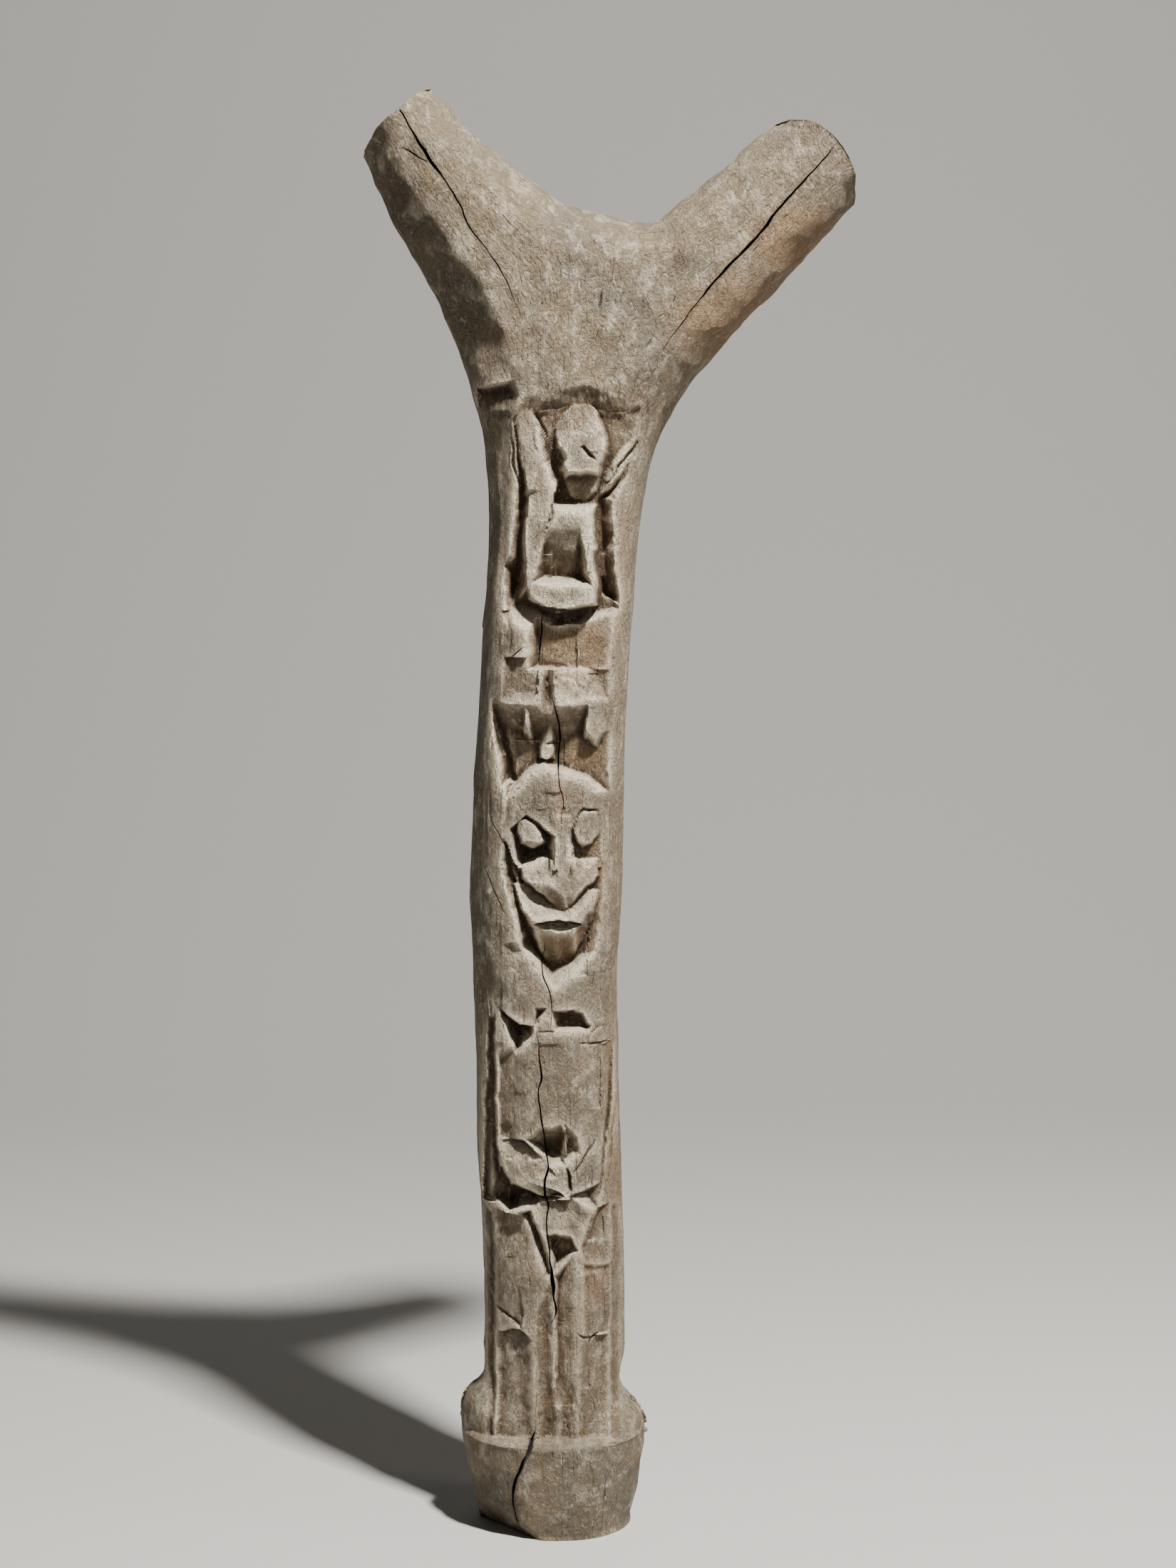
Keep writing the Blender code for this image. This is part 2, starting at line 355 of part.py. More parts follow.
def carve_legs(c):
    """The pelvis, and two legs bent at the knee that run down to the plinth."""
    c.hollow("top face of the pelvis", [(-9, 204), (14, 201), (26, 212), (18, 227), (-20, 224)],
             [0.30, 0.32, 0.5, OPEN, OPEN], c.skin - 6 - 0.1 * (c.z - 215))

    c.hollow("left groin", [(-3, 174), (1, 174), (-2, 190), (-14, 222), (-23, 218)], [1.2, 1.6, 2.4, 2.4, 2.4],
             c.skin - 11)
    c.hollow("under the pelvis", [(0, 177), (16.5, 193), (12, 202), (3, 205.5), (-4, 203)], [5.0, 3.0, 1.6, 1.6, 2.4],
             c.slope(4, 190, 37, across=0.30, up=0.1))
    c.hollow("top of the left thigh", [(-38, 188), (-20, 180), (-5, 184), (-18, 215), (-40, 219)],
             [0.25, 0.25, OPEN, OPEN, 0.6], c.skin - 5)
    c.hollow("top of the right thigh", [(22, 183), (38, 181), (41, 200), (38, 222), (29, 220), (17, 195)],
             [0.30, 0.30, 0.6, OPEN, 1.2, 1.2], c.skin - 7)
    c.hollow("outer face of the left knee", [(-40, 147), (-22, 140), (-19, 150), (-21.5, 170), (-30, 178), (-40, 190)],
             [OPEN, OPEN, 1.4, 0.9, 0.5, OPEN], c.slope(-20, 150, 41, across=0.30, up=0.05))
    c.hollow("inner face of the right thigh", [(1, 88), (15, 80), (20, 135), (20.5, 187), (15.5, 193), (1, 176)],
             [0.25, OPEN, OPEN, OPEN, 1.6, 1.6], c.slope(1, 150, 39.5, across=0.40))
    c.hollow("front of the right thigh", [(20, 134), (39, 134), (40, 182), (20, 184)], [OPEN, 0.7, 0.6, 0.8],
             c.skin - 2)
    c.hollow("left shin", [(-38, 55), (-12, 55), (-13, 143), (-23, 139.5), (-38, 150)], [OPEN, 0.5, 5.0, 5.0, 0.9],
             c.skin - 3.2 - 0.09 * np.abs(c.x + 25) + 0.02 * np.maximum(110 - c.z, 0))
    c.hollow("between the legs", [(-12, 55), (3, 55), (3, 170), (-1, 173), (-12, 150)], [OPEN, 0.5, 1.2, 0.8, 0.5],
             c.skin - 4.2 + 0.02 * np.maximum(110 - c.z, 0))
    c.hollow("foot of the right inner face", [(4, 60), (14, 60), (16, 98), (9, 122), (4, 140)],
             [OPEN, 0.5, 0.5, 0.4, 0.5], c.skin - 3.5)
    c.hollow("right shin", [(17, 55), (38, 55), (39, 133), (17, 134.5)], [OPEN, 0.5, 4.0, 0.5],
             c.skin - 3 + 0.02 * np.maximum(110 - c.z, 0))
    c.hollow("left edge of the legs", [(-44, 60), (-38, 60), (-37, 190), (-38, 216), (-45, 216)],
             [OPEN, 1.2, 1.2, 1.2, 0.8], c.skin - 4)
    c.hollow("right edge of the legs", [(37, 60), (45, 60), (45, 215), (40, 222), (37, 215)],
             [OPEN, 0.4, 0.8, 0.6, 0.6], c.skin - 2)
    c.score("left knee", [(-38, 153), (-33, 149), (-28, 147), (-23, 139.5), (-16, 139.5), (-12, 147)], 1.6, 5)
    c.score("right knee", [(16, 136), (20, 133.5), (25, 132.5), (31, 135.5)], 1.2, 3)


def carved(x, z, skin):
    """The front of the post, carved from its round skin down to the ledge, with the plinth's left corner worn off."""
    c = Carving(x, z, skin)
    for carve in (carve_upper_field, carve_upper_figure, carve_upper_breasts, carve_face, carve_lower_breasts,
                  carve_belly_and_hands, carve_legs):
        carve(c)
    shape = skin - (skin - c.shape) * ramp(z, 62, 68)
    worn_corner = 57 + 1.4 * (x + 5) + 1.5 * z
    return soft_min(shape, worn_corner, 2.0)


def row_heights():
    """Heights of the stem's grid rows at its heart line, close together on the plinth's ledge."""
    plinth = np.concatenate([np.linspace(0, 60, 13), [61.6, 63, 63.8, 64.6, 65.3, 66]])
    crotch = 756 + (CROTCH[1] - 756) * np.sin(np.linspace(0, np.pi / 2, 36))
    return np.concatenate([plinth, np.arange(68, 755, 2.0), crotch])


def half_plan(side, outline, crotch, end):
    """Front view of one half of the post: grid rows from its outer edge to its heart line, then along its arm."""
    heights = row_heights()
    fan = np.maximum(heights - FAN_START, 0) / (CROTCH[1] - FAN_START)
    outer_z = np.minimum(heights, FAN_START) + fan * (FAN_OUTER[side] - FAN_START)
    outer = np.stack([by_height(outline, outer_z), outer_z], axis=1)
    heart = np.stack([by_height(HEART, heights), heights], axis=1)
    arm_z = np.linspace(FAN_OUTER[side], outline[-1][1], ARM_ROWS + 1)[1:]
    arm_outer = np.stack([by_height(outline, arm_z), arm_z], axis=1)
    arm_inner = along_path(crotch, ARM_ROWS + 1)[1:]
    outer = np.concatenate([outer, arm_outer])
    inner = np.concatenate([heart, arm_inner])
    arm = np.concatenate([ramp(heights, FAN_START, CROTCH[1]), np.ones(ARM_ROWS)])
    turn = np.linspace(0, 1, COLUMNS + 1)
    in_stem = 1 - np.cos(turn * np.pi / 2)
    in_arm = (1 - np.cos(turn * np.pi)) / 2
    share = in_stem + arm[:, None] * (in_arm - in_stem)
    plan = outer[:, None] + share[..., None] * (inner - outer)[:, None]
    sawn = along_path(end, 60)
    across = np.linspace(0, 1, 60)
    bulge = np.stack([np.interp(share[-1], across, sawn[:, axis]) for axis in (0, 1)], axis=1) - plan[-1]
    progress = np.concatenate([np.zeros(len(heights)), np.linspace(0, 1, ARM_ROWS + 1)[1:]])
    return plan + (progress**5)[:, None, None] * bulge


def swell(distance, reach):
    """The share of its full depth that a round log has at a distance in from its edge."""
    return np.sqrt(np.maximum(1 - (1 - np.clip(distance / reach, 0, 1)) ** ROUNDNESS, 0))


def hewn(depth, edge, width, cheek, steep):
    """Flatten the log's edge with a straight hewn bevel of this width."""
    return soft_min(depth, cheek - steep * (width - edge), 2.0)


def depths(plan, depth_by_height):
    """How far the surface stands out over each point of the front view, before carving."""
    x, z = plan[..., 0], plan[..., 1]
    left = along_path(LEFT_SIDE, 160)
    right = along_path(RIGHT_SIDE, 160)
    crotch = np.concatenate([along_path(LEFT_CROTCH, 40)[::-1], along_path(RIGHT_CROTCH, 40)[1:]])
    to_left, _ = to_path(x, z, left)
    to_right, _ = to_path(x, z, right)
    to_crotch, _ = to_path(x, z, crotch)
    outward = np.minimum(to_left, to_right)
    width = by_height(RIGHT_SIDE, np.minimum(z, 700)) - by_height(LEFT_SIDE, np.minimum(z, 700))
    reach = width / 2 + (38 - width / 2) * ramp(z, 690, 800)
    end = ramp(np.hypot(x - CROTCH[0], z - CROTCH[1] + 20), 40, 150) * ramp(z, 780, 860)
    full = level(depth_by_height, z) * (1 - end) + ARM_END_DEPTH * end
    depth = full * swell(outward, reach) * swell(to_crotch, 36)
    arm = ramp(z, 745, 790)
    left_bevel = hewn(depth, to_left, 34 - 10 * end, full, 0.85)
    right_bevel = hewn(depth, to_right, 17 - 8 * end, full, 1.0)
    return depth + arm * (np.where(x < CROTCH[0], left_bevel, right_bevel) - depth)


def zone_scale(z, index):
    """Metres per carver's unit at each height, from the plinth's, the stem's and the fork's own sizes."""
    sizes = {"plinth": (PLINTH_WIDTH, PLINTH_DEPTH), "stem": (STEM_WIDTH, STEM_DEPTH), "fork": (FORK_SPREAD, ARM_DEPTH)}
    plinth, stem, fork = (sizes[name][index] / DRAWN[name][index] for name in ("plinth", "stem", "fork"))
    low, foot, neck, high = ZONE_HEIGHTS
    return plinth + (stem - plinth) * ramp(z, low, foot) + (fork - stem) * ramp(z, neck, high)


def to_metres(x, y, z):
    """Turn carver's units into metres."""
    above = (OVERALL_HEIGHT - PLINTH_HEIGHT) / (DRAWN_HEIGHT - DRAWN_PLINTH)
    height = np.minimum(z, DRAWN_PLINTH) * PLINTH_HEIGHT / DRAWN_PLINTH + np.maximum(z - DRAWN_PLINTH, 0) * above
    return np.stack([x * zone_scale(z, 0), y * zone_scale(z, 1), height], axis=-1)


class Shell:
    """The vertices and faces of a closed skin, whose sheets share the vertices along their seams."""

    def __init__(self):
        self.points, self.faces = np.zeros((0, 3)), []

    def add(self, points):
        """Add a sheet of points and give back their numbers."""
        numbers = len(self.points) + np.arange(points[..., 0].size).reshape(points.shape[:-1])
        self.points = np.concatenate([self.points, points.reshape(-1, 3)])
        return numbers

    def sheet(self, numbers, flip=False):
        """Face a grid of vertex numbers. A quad whose corners fall together becomes a triangle."""
        corners = [numbers[:-1, :-1], numbers[:-1, 1:], numbers[1:, 1:], numbers[1:, :-1]]
        for quad in np.stack([corner.ravel() for corner in corners[::-1 if flip else 1]], axis=1).tolist():
            self.faces.append(list(dict.fromkeys(quad)))

    def close(self, front, back, flip=False):
        """Fill the flat end between a front row and the back row behind it, which share their end points."""
        depth = np.linspace(0, 1, CAP_ROWS + 1)[:, None, None]
        between = (1 - depth) * self.points[front] + depth * self.points[back]
        numbers = np.concatenate([front[None], self.add(between[1:-1]), back[None]])
        numbers[:, 0], numbers[:, -1] = front[0], front[-1]
        self.sheet(numbers, flip)


def skin_grids(shell, side, outline, crotch, end):
    """The front and back grids of one half, in metres, which share their outer edge and their edge in the fork."""
    plan = half_plan(side, outline, crotch, end)
    x, z = plan[..., 0], plan[..., 1]
    skin = depths(plan, FRONT_DEPTH)
    cut = (skin - carved(x, z, skin)) * RELIEF_DEPTH * 1000 / DRAWN_RELIEF
    front = to_metres(x, cut - skin, z)
    back = to_metres(x, depths(plan, BACK_DEPTH), z)
    fork = len(row_heights()) - 1
    for grid in (front, back):
        grid[:, 0, 1] = 0
        grid[fork:, -1, 1] = 0
    front, back = shell.add(front), shell.add(back)
    back[:, 0] = front[:, 0]
    back[fork:, -1] = front[fork:, -1]
    return front, back


def build_shell():
    """The whole skin: front and back of both halves, the sawn ends of the arms, and the underside."""
    shell = Shell()
    left_front, left_back = skin_grids(shell, "left", LEFT_SIDE, LEFT_CROTCH, LEFT_END)
    right_front, right_back = skin_grids(shell, "right", RIGHT_SIDE, RIGHT_CROTCH, RIGHT_END)
    heart = len(row_heights())
    right_front[:heart, -1] = left_front[:heart, -1]
    right_back[:heart, -1] = left_back[:heart, -1]
    shell.sheet(left_front)
    shell.sheet(left_back, flip=True)
    shell.sheet(right_front, flip=True)
    shell.sheet(right_back)
    shell.close(left_front[-1], left_back[-1])
    shell.close(right_front[-1], right_back[-1], flip=True)
    underside = [np.concatenate([left[0], right[0, -2::-1]]) for left, right in
                 ((left_front, right_front), (left_back, right_back))]
    shell.close(*underside, flip=True)
    used, numbers = np.unique(np.concatenate(shell.faces), return_inverse=True)
    ends = np.cumsum([len(face) for face in shell.faces])[:-1]
    return shell.points[used], [face.tolist() for face in np.split(numbers.ravel(), ends)]


def wood_material():
    """Old grey-tan wood, dry and matt."""
    material = bpy.data.materials.new("old_dry_wood")
    material.use_nodes = True
    shader = material.node_tree.nodes["Principled BSDF"]
    shader.inputs["Base Color"].default_value = (0.34, 0.27, 0.19, 1)
    shader.inputs["Roughness"].default_value = 0.85
    shader.inputs["Metallic"].default_value = 0.0
    return material


def thin(post, faces):
    """Thin the fine grid where it is nearly flat, and put the underside back on the ground exactly."""
    modifier = post.modifiers.new("thin", "DECIMATE")
    modifier.ratio = faces / sum(len(polygon.vertices) - 2 for polygon in post.data.polygons)
    evaluated = post.evaluated_get(bpy.context.evaluated_depsgraph_get())
    mesh = bpy.data.meshes.new_from_object(evaluated)
    post.modifiers.remove(modifier)
    places = np.empty(len(mesh.vertices) * 3)
    mesh.vertices.foreach_get("co", places)
    places[2::3][places[2::3] < GROUND_SNAP] = 0
    mesh.vertices.foreach_set("co", places)
    post.data = mesh


def main():
    for leftover in list(bpy.data.objects):
        bpy.data.objects.remove(leftover)
    points, faces = build_shell()
    mesh = bpy.data.meshes.new("carved_post")
    mesh.from_pydata(points.tolist(), [], faces)
    mesh.materials.append(wood_material())
    post = bpy.data.objects.new("carved_post", mesh)
    bpy.context.collection.objects.link(post)
    thin(post, FACES_KEPT)
    post.data.shade_smooth()
    post.data.set_sharp_from_angle(angle=np.radians(35))


main()
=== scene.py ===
# %% [markdown]
# # A forked post carved with two figures
# The real object is one piece of an old log. It is drawn 95 cm tall, which is a guess. A carver left the fork of the
# tree at the top, cut a round plinth at the bottom, and carved one figure above another down the front.
# It could be sculpted by hand, but a lesson is easier to follow when every form has a number and a name.
# So the post is a surface worked out with numpy, and the wood is a set of nodes that reads what numpy measured.

import bpy
import numpy as np
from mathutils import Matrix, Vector


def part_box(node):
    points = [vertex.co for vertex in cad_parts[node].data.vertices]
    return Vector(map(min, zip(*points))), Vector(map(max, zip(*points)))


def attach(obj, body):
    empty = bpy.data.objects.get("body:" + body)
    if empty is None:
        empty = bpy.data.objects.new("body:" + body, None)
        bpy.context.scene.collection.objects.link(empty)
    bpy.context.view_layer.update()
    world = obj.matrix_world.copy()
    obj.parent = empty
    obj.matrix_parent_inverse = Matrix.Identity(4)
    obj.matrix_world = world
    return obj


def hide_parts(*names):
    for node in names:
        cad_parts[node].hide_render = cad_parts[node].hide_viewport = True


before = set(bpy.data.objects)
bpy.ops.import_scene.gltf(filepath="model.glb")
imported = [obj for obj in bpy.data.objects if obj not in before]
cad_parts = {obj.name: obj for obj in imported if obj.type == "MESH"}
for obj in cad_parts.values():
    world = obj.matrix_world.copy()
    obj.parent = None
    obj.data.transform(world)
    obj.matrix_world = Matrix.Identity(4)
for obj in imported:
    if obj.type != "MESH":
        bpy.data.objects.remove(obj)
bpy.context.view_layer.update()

SOLID_LOW, SOLID_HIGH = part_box("carved_post")
UNIT = (SOLID_HIGH[2] - SOLID_LOW[2]) / 950
print("one carver's unit is", round(UNIT * 1000, 4), "mm")

# %% [markdown]
# ## Curves and ramps
# A carved edge is drawn as a few points, so a curve has to run smoothly through them. Blender's curves could do it,
# but the surface also needs distances to these lines, and whole numpy arrays give those in one step.

# %% Curves, ramps and distances
# ARRIS is how far a cut edge is worn round. OPEN is a wall so steep that it sets no limit there.
ARRIS = 0.3
OPEN = 30.0


def smooth_curve(at, places, values):
    """A curve through the values whose slope at each is the mean slope of its two neighbours."""
    places, values = np.asarray(places, float), np.asarray(values, float)
    slopes = np.gradient(values, places)
    spot = np.clip(np.searchsorted(places, at, side="right") - 1, 0, len(places) - 2)
    gap = places[spot + 1] - places[spot]
    t = (at - places[spot]) / gap
    start = (1 + 2 * t) * (1 - t) ** 2 * values[spot] + t * (1 - t) ** 2 * gap * slopes[spot]
    end = t * t * (3 - 2 * t) * values[spot + 1] - t * t * (1 - t) * gap * slopes[spot + 1]
    return start + end


def along_path(path, count):
    """Points evenly spaced along a smooth curve through the path."""
    corners = np.array(path, float)
    way = np.concatenate([[0], np.cumsum(np.hypot(*np.diff(corners[:, :2], axis=0).T))])
    even = np.linspace(0, way[-1], count)
    return np.stack([smooth_curve(even, way, corners[:, axis]) for axis in range(corners.shape[1])], axis=1)


def by_height(pairs, z):
    """The first number of each pair, read off at height z along a smooth curve."""
    return smooth_curve(z, [pair[1] for pair in pairs], [pair[0] for pair in pairs])


def level(pairs, z):
    """The second number of each pair, read off at height z in straight steps."""
    return np.interp(z, [pair[0] for pair in pairs], [pair[1] for pair in pairs])


def ramp(value, low, high):
    """0 below low, 1 above high, and three t squared less two t cubed between them."""
    t = np.clip((value - low) / (high - low), 0, 1)
    return t * t * (3 - 2 * t)


def soft_min(a, b, rounding=ARRIS):
    """The lower of two surfaces, with their meeting line worn round."""
    mix = np.clip(0.5 + 0.5 * (b - a) / rounding, 0, 1)
    return b * (1 - mix) + a * mix - rounding * mix * (1 - mix)


def soft_max(a, b, rounding=ARRIS):
    """The higher of two surfaces, with their meeting line worn round."""
    return -soft_min(-a, -b, rounding)


def inside(x, z, start, end):
    """How far a point lies to the left of the line from start to end."""
    run, rise = end[0] - start[0], end[1] - start[1]
    return (run * (z - start[1]) - rise * (x - start[0])) / np.hypot(run, rise)


def to_path(x, z, path):
    """The distance to a path, and the share of its length at which the nearest point lies."""
    lengths = [np.hypot(b[0] - a[0], b[1] - a[1]) for a, b in zip(path, path[1:])]
    nearest, share, done = np.full(np.shape(x), 1e9), np.zeros(np.shape(x)), 0.0
    for a, b, length in zip(path, path[1:], lengths):
        t = np.clip(((x - a[0]) * (b[0] - a[0]) + (z - a[1]) * (b[1] - a[1])) / length**2, 0, 1)
        gap = np.hypot(x - a[0] - t * (b[0] - a[0]), z - a[1] - t * (b[1] - a[1]))
        share = np.where(gap < nearest, (done + t * length) / sum(lengths), share)
        nearest = np.minimum(nearest, gap)
        done += length
    return nearest, share


# %% [markdown]
# ## Noise and tool marks
# Old wood is never even. Blender has noise textures, but a texture only paints: here the noise has to move the surface
# itself, so it is worked out in numpy. The second function makes the dished cuts that an adze leaves, which meet in
# sharp ridges: each cut belongs to a random centre, and the surface takes the lowest dish at each place.

# %% Noise and adze cuts
def scatter(cell, seed):
    """A number from 0 to 1 for each whole-number cell, mixed from its three numbers and the seed."""
    cell = cell.astype(np.int64)
    mixed = (cell[..., 0] * 73856093) ^ (cell[..., 1] * 19349663) ^ (cell[..., 2] * 83492791) ^ (seed * 2654435)
    mixed = ((mixed ^ (mixed >> 13)) * 1274126177) & 0xFFFFFFFF
    mixed = ((mixed ^ (mixed >> 15)) * 2246822519) & 0xFFFFFFFF
    return ((mixed ^ (mixed >> 16)) & 0xFFFFFF) / 0xFFFFFF


def noise(points, size, seed=0):
    """Smooth noise from -1 to 1: random numbers at the corners of boxes of this size, blended inside each box."""
    spot = points / np.asarray(size, float)
    cell = np.floor(spot)
    t = spot - cell
    t = t * t * (3 - 2 * t)
    total = 0
    for corner in np.ndindex(2, 2, 2):
        share = np.prod(np.where(np.array(corner, bool), t, 1 - t), axis=-1)
        total = total + share * scatter(cell + corner, seed)
    return 2 * total - 1


def adze_cuts(points, size, reach, lean, seed):
    """The lowest of nearby dishes: distance to a dish's centre squared, over twice its reach, plus its lean."""
    size, reach = np.asarray(size, float), np.asarray(reach, float)
    home = np.floor(points / size)
    lowest = np.full(points.shape[:-1], 1e9)
    for step in np.ndindex(3, 3, 3):
        cell = home + step - 1
        away = points - (cell + 0.15 + 0.7 * np.stack([scatter(cell, seed + n) for n in range(3)], axis=-1)) * size
        tilt = lean * (2 * np.stack([scatter(cell, seed + 3 + n) for n in range(3)], axis=-1) - 1)
        lowest = np.minimum(lowest, np.sum(away**2 / (2 * reach) + away * tilt, axis=-1))
    return lowest


# %% [markdown]
# ## The outline
# From the front the post is a Y: a slightly bent stem, a plinth that swells a little, and a fork with a short steep
# arm on the left and a longer, lower one on the right. The outline is drawn in carver's units, 1 unit to 1 mm, from
# the ground up, and the heart line between the two halves runs where the long drying crack does.

# %% Outlines seen from the front, as (x, z)
LEFT_SIDE = [(-49, 0), (-52, 12), (-56, 30), (-60, 50), (-62, 66), (-62, 77), (-59, 88), (-50, 97), (-47, 122),
             (-46.5, 165), (-48, 209), (-51.5, 260), (-52.5, 325), (-54, 382), (-55.4, 430), (-54, 468),
             (-51, 525), (-48, 581), (-44.5, 625), (-43, 665), (-43.4, 700), (-46, 728), (-52, 748), (-65, 789),
             (-89, 835), (-111, 877), (-123, 905)]
RIGHT_SIDE = [(52, 0), (55, 12), (58, 30), (61, 50), (62, 64), (60.5, 73), (55, 81), (48.5, 88), (48, 120),
              (47.6, 180), (45.1, 267), (43.8, 330), (43.4, 382), (46.2, 430), (47, 480), (48.5, 530),
              (51, 581), (54.5, 630), (59, 668), (67, 712), (76, 735), (90, 757), (113, 784), (148, 821),
              (171, 846), (197, 874)]
CROTCH = (38, 868)
LEFT_CROTCH = [CROTCH, (24, 871), (8, 876), (-12, 890), (-33, 907), (-53, 923), (-68, 940), (-79, 950)]
RIGHT_CROTCH = [CROTCH, (50, 865), (64, 863), (84, 878), (115, 903), (145, 928)]
LEFT_END = [(-123, 905), (-114, 920), (-98, 934), (-79, 950)]
RIGHT_END = [(197, 874), (193, 899), (183, 915), (166, 926), (145, 928)]
HEART = [(0, 0), (0, 100), (0.4, 180), (-3, 260), (-5, 340), (-4.5, 430), (-2.5, 500), (0, 553), (4, 610),
         (8, 665), (12, 700), (22, 750), (34, 810), CROTCH]
FAN_START = 690
FAN_OUTER = {"left": 789, "right": 784}
FRONT_DEPTH = [(0, 54), (30, 57), (61, 58), (63.2, 57), (66, 44), (100, 45.5), (200, 47), (700, 47), (800, 45),
               (868, 42)]
BACK_DEPTH = [(0, 53), (30, 56), (58, 57), (85, 48), (110, 45), (700, 45), (800, 43), (868, 41)]
ARM_END_DEPTH = 36
ROUNDNESS = 2.3


CROTCH_EDGE = np.concatenate([along_path(LEFT_CROTCH, 40)[::-1], along_path(RIGHT_CROTCH, 40)[1:]])
LEFT_TOP, RIGHT_TOP = LEFT_SIDE[-1][1], RIGHT_SIDE[-1][1]
LEDGE_LOW, LEDGE_HIGH = 62, 68


def heart_line(z):
    """How far across the heart line runs at height z, and at the crotch for all that lies above it."""
    return by_height(HEART, np.clip(z, 0, CROTCH[1]))


def swell(distance, reach):
    """The share of its full depth that a round log has in from its edge: one less a falling power, under a root."""
    return np.sqrt(np.maximum(1 - (1 - np.clip(distance / reach, 0, 1)) ** ROUNDNESS, 0))


def hewn(depth, edge, width, cheek, steep):
    """Flatten the log's edge with a straight hewn bevel of this width."""
    return soft_min(depth, cheek - steep * (width - edge), 1.2)


def edge_distances(x, z):
    """Distances from each point to the left side, the right side and the edge inside the fork."""
    edges = along_path(LEFT_SIDE, 160), along_path(RIGHT_SIDE, 160), CROTCH_EDGE
    return [to_path(x, z, edge)[0] for edge in edges]


def depths(x, z, depth_by_height):
    """How far the round log stands out over each point of the front view, before carving."""
    to_left, to_right, to_crotch = edge_distances(x, z)
    width = by_height(RIGHT_SIDE, np.minimum(z, 700)) - by_height(LEFT_SIDE, np.minimum(z, 700))
    reach = width / 2 + (38 - width / 2) * ramp(z, 690, 800)
    end = ramp(np.hypot(x - CROTCH[0], z - CROTCH[1] + 20), 40, 150) * ramp(z, 780, 860)
    full = level(depth_by_height, z) * (1 - end) + ARM_END_DEPTH * end
    depth = full * swell(np.minimum(to_left, to_right), reach) * swell(to_crotch, 36)
    left_bevel = hewn(depth, to_left, 34 - 10 * end, full, 0.85)
    right_bevel = hewn(depth, to_right, 17 - 8 * end, full, 1.0)
    return depth + ramp(z, 745, 790) * (np.where(x < CROTCH[0], left_bevel, right_bevel) - depth)


print("the outline is drawn with", len(LEFT_SIDE) + len(RIGHT_SIDE) + len(LEFT_CROTCH) + len(RIGHT_CROTCH), "points")

# %% [markdown]
# ## Carving
# The carver cut pockets into the round log and left forms standing in them, so the surface is made in the same way.
# A pocket is the log's skin pushed down between its corners, with a wall of chosen steepness at each edge. A standing
# form is the lowest of a few flat faces, as a knife leaves it. Boolean blocks would also do this, but heights over the
# front view can never tear or overlap, and a worn edge is one soft minimum.

# %% The carver's tools
class Carving:
    """The carved front: the log's round skin, then what each tool cut takes off it. A cut's name is for the reader."""

    def __init__(self, x, z, skin):
        self.x, self.z, self.skin, self.shape = x, z, skin, skin

    def slope(self, x, z, height, across=0.0, up=0.0):
        """A flat face through one point that rises to the right by across and upwards by up."""
        return height + across * (self.x - x) + up * (self.z - z)

    def hollow(self, name, corners, walls, floor):
        """Cut a pocket inside the corners, with one wall's steepness to each edge, down to its floor."""
        cut = floor
        for start, end, steep in zip(corners, corners[1:] + corners[:1], walls):
            cut = np.maximum(cut, self.skin - steep * inside(self.x, self.z, start, end))
        self.shape = soft_min(self.shape, cut)

    def stand(self, name, corners, walls, foot, *tops):
        """Leave a form standing in a pocket: walls that rise from its foot, under its top faces."""
        form = tops[0]
        for top in tops[1:]:
            form = soft_min(form, top)
        for start, end, steep in zip(corners, corners[1:] + corners[:1], walls):
            form = soft_min(form, foot + steep * inside(self.x, self.z, start, end))
        self.raise_to(form)

    def raise_to(self, form):
        """Leave the wood at least as high as this form, but never above the log's skin."""
        self.shape = np.minimum(soft_max(self.shape, form), self.skin)

    def bar(self, path, half, height, steep=1.3, flat=0.5):
        """A rounded bar along a path: flat on top, then falling steeply away."""
        gap, _ = to_path(self.x, self.z, path)
        return height - steep * np.maximum(gap - flat * half, 0) - 0.04 * gap

    def score(self, name, path, half, depth):
        """A narrow cut along a path, shallower at its two ends."""
        gap, share = to_path(self.x, self.z, path)
        fade = np.sqrt(np.maximum(np.sin(np.pi * np.clip(share, 0, 1)), 1e-4))
        self.shape = self.shape - depth * fade * np.clip(1 - gap / (half * fade), 0, 1)

    def dish(self, form, centre, reach, depth, turn):
        """Press an oval dish into a form."""
        cos, sin = np.cos(np.radians(turn)), np.sin(np.radians(turn))
        a = ((self.x - centre[0]) * cos + (self.z - centre[1]) * sin) / reach[0]
        b = ((self.z - centre[1]) * cos - (self.x - centre[0]) * sin) / reach[1]
        return form - depth * np.clip(1 - np.hypot(a, b), 0, 1) ** 0.7


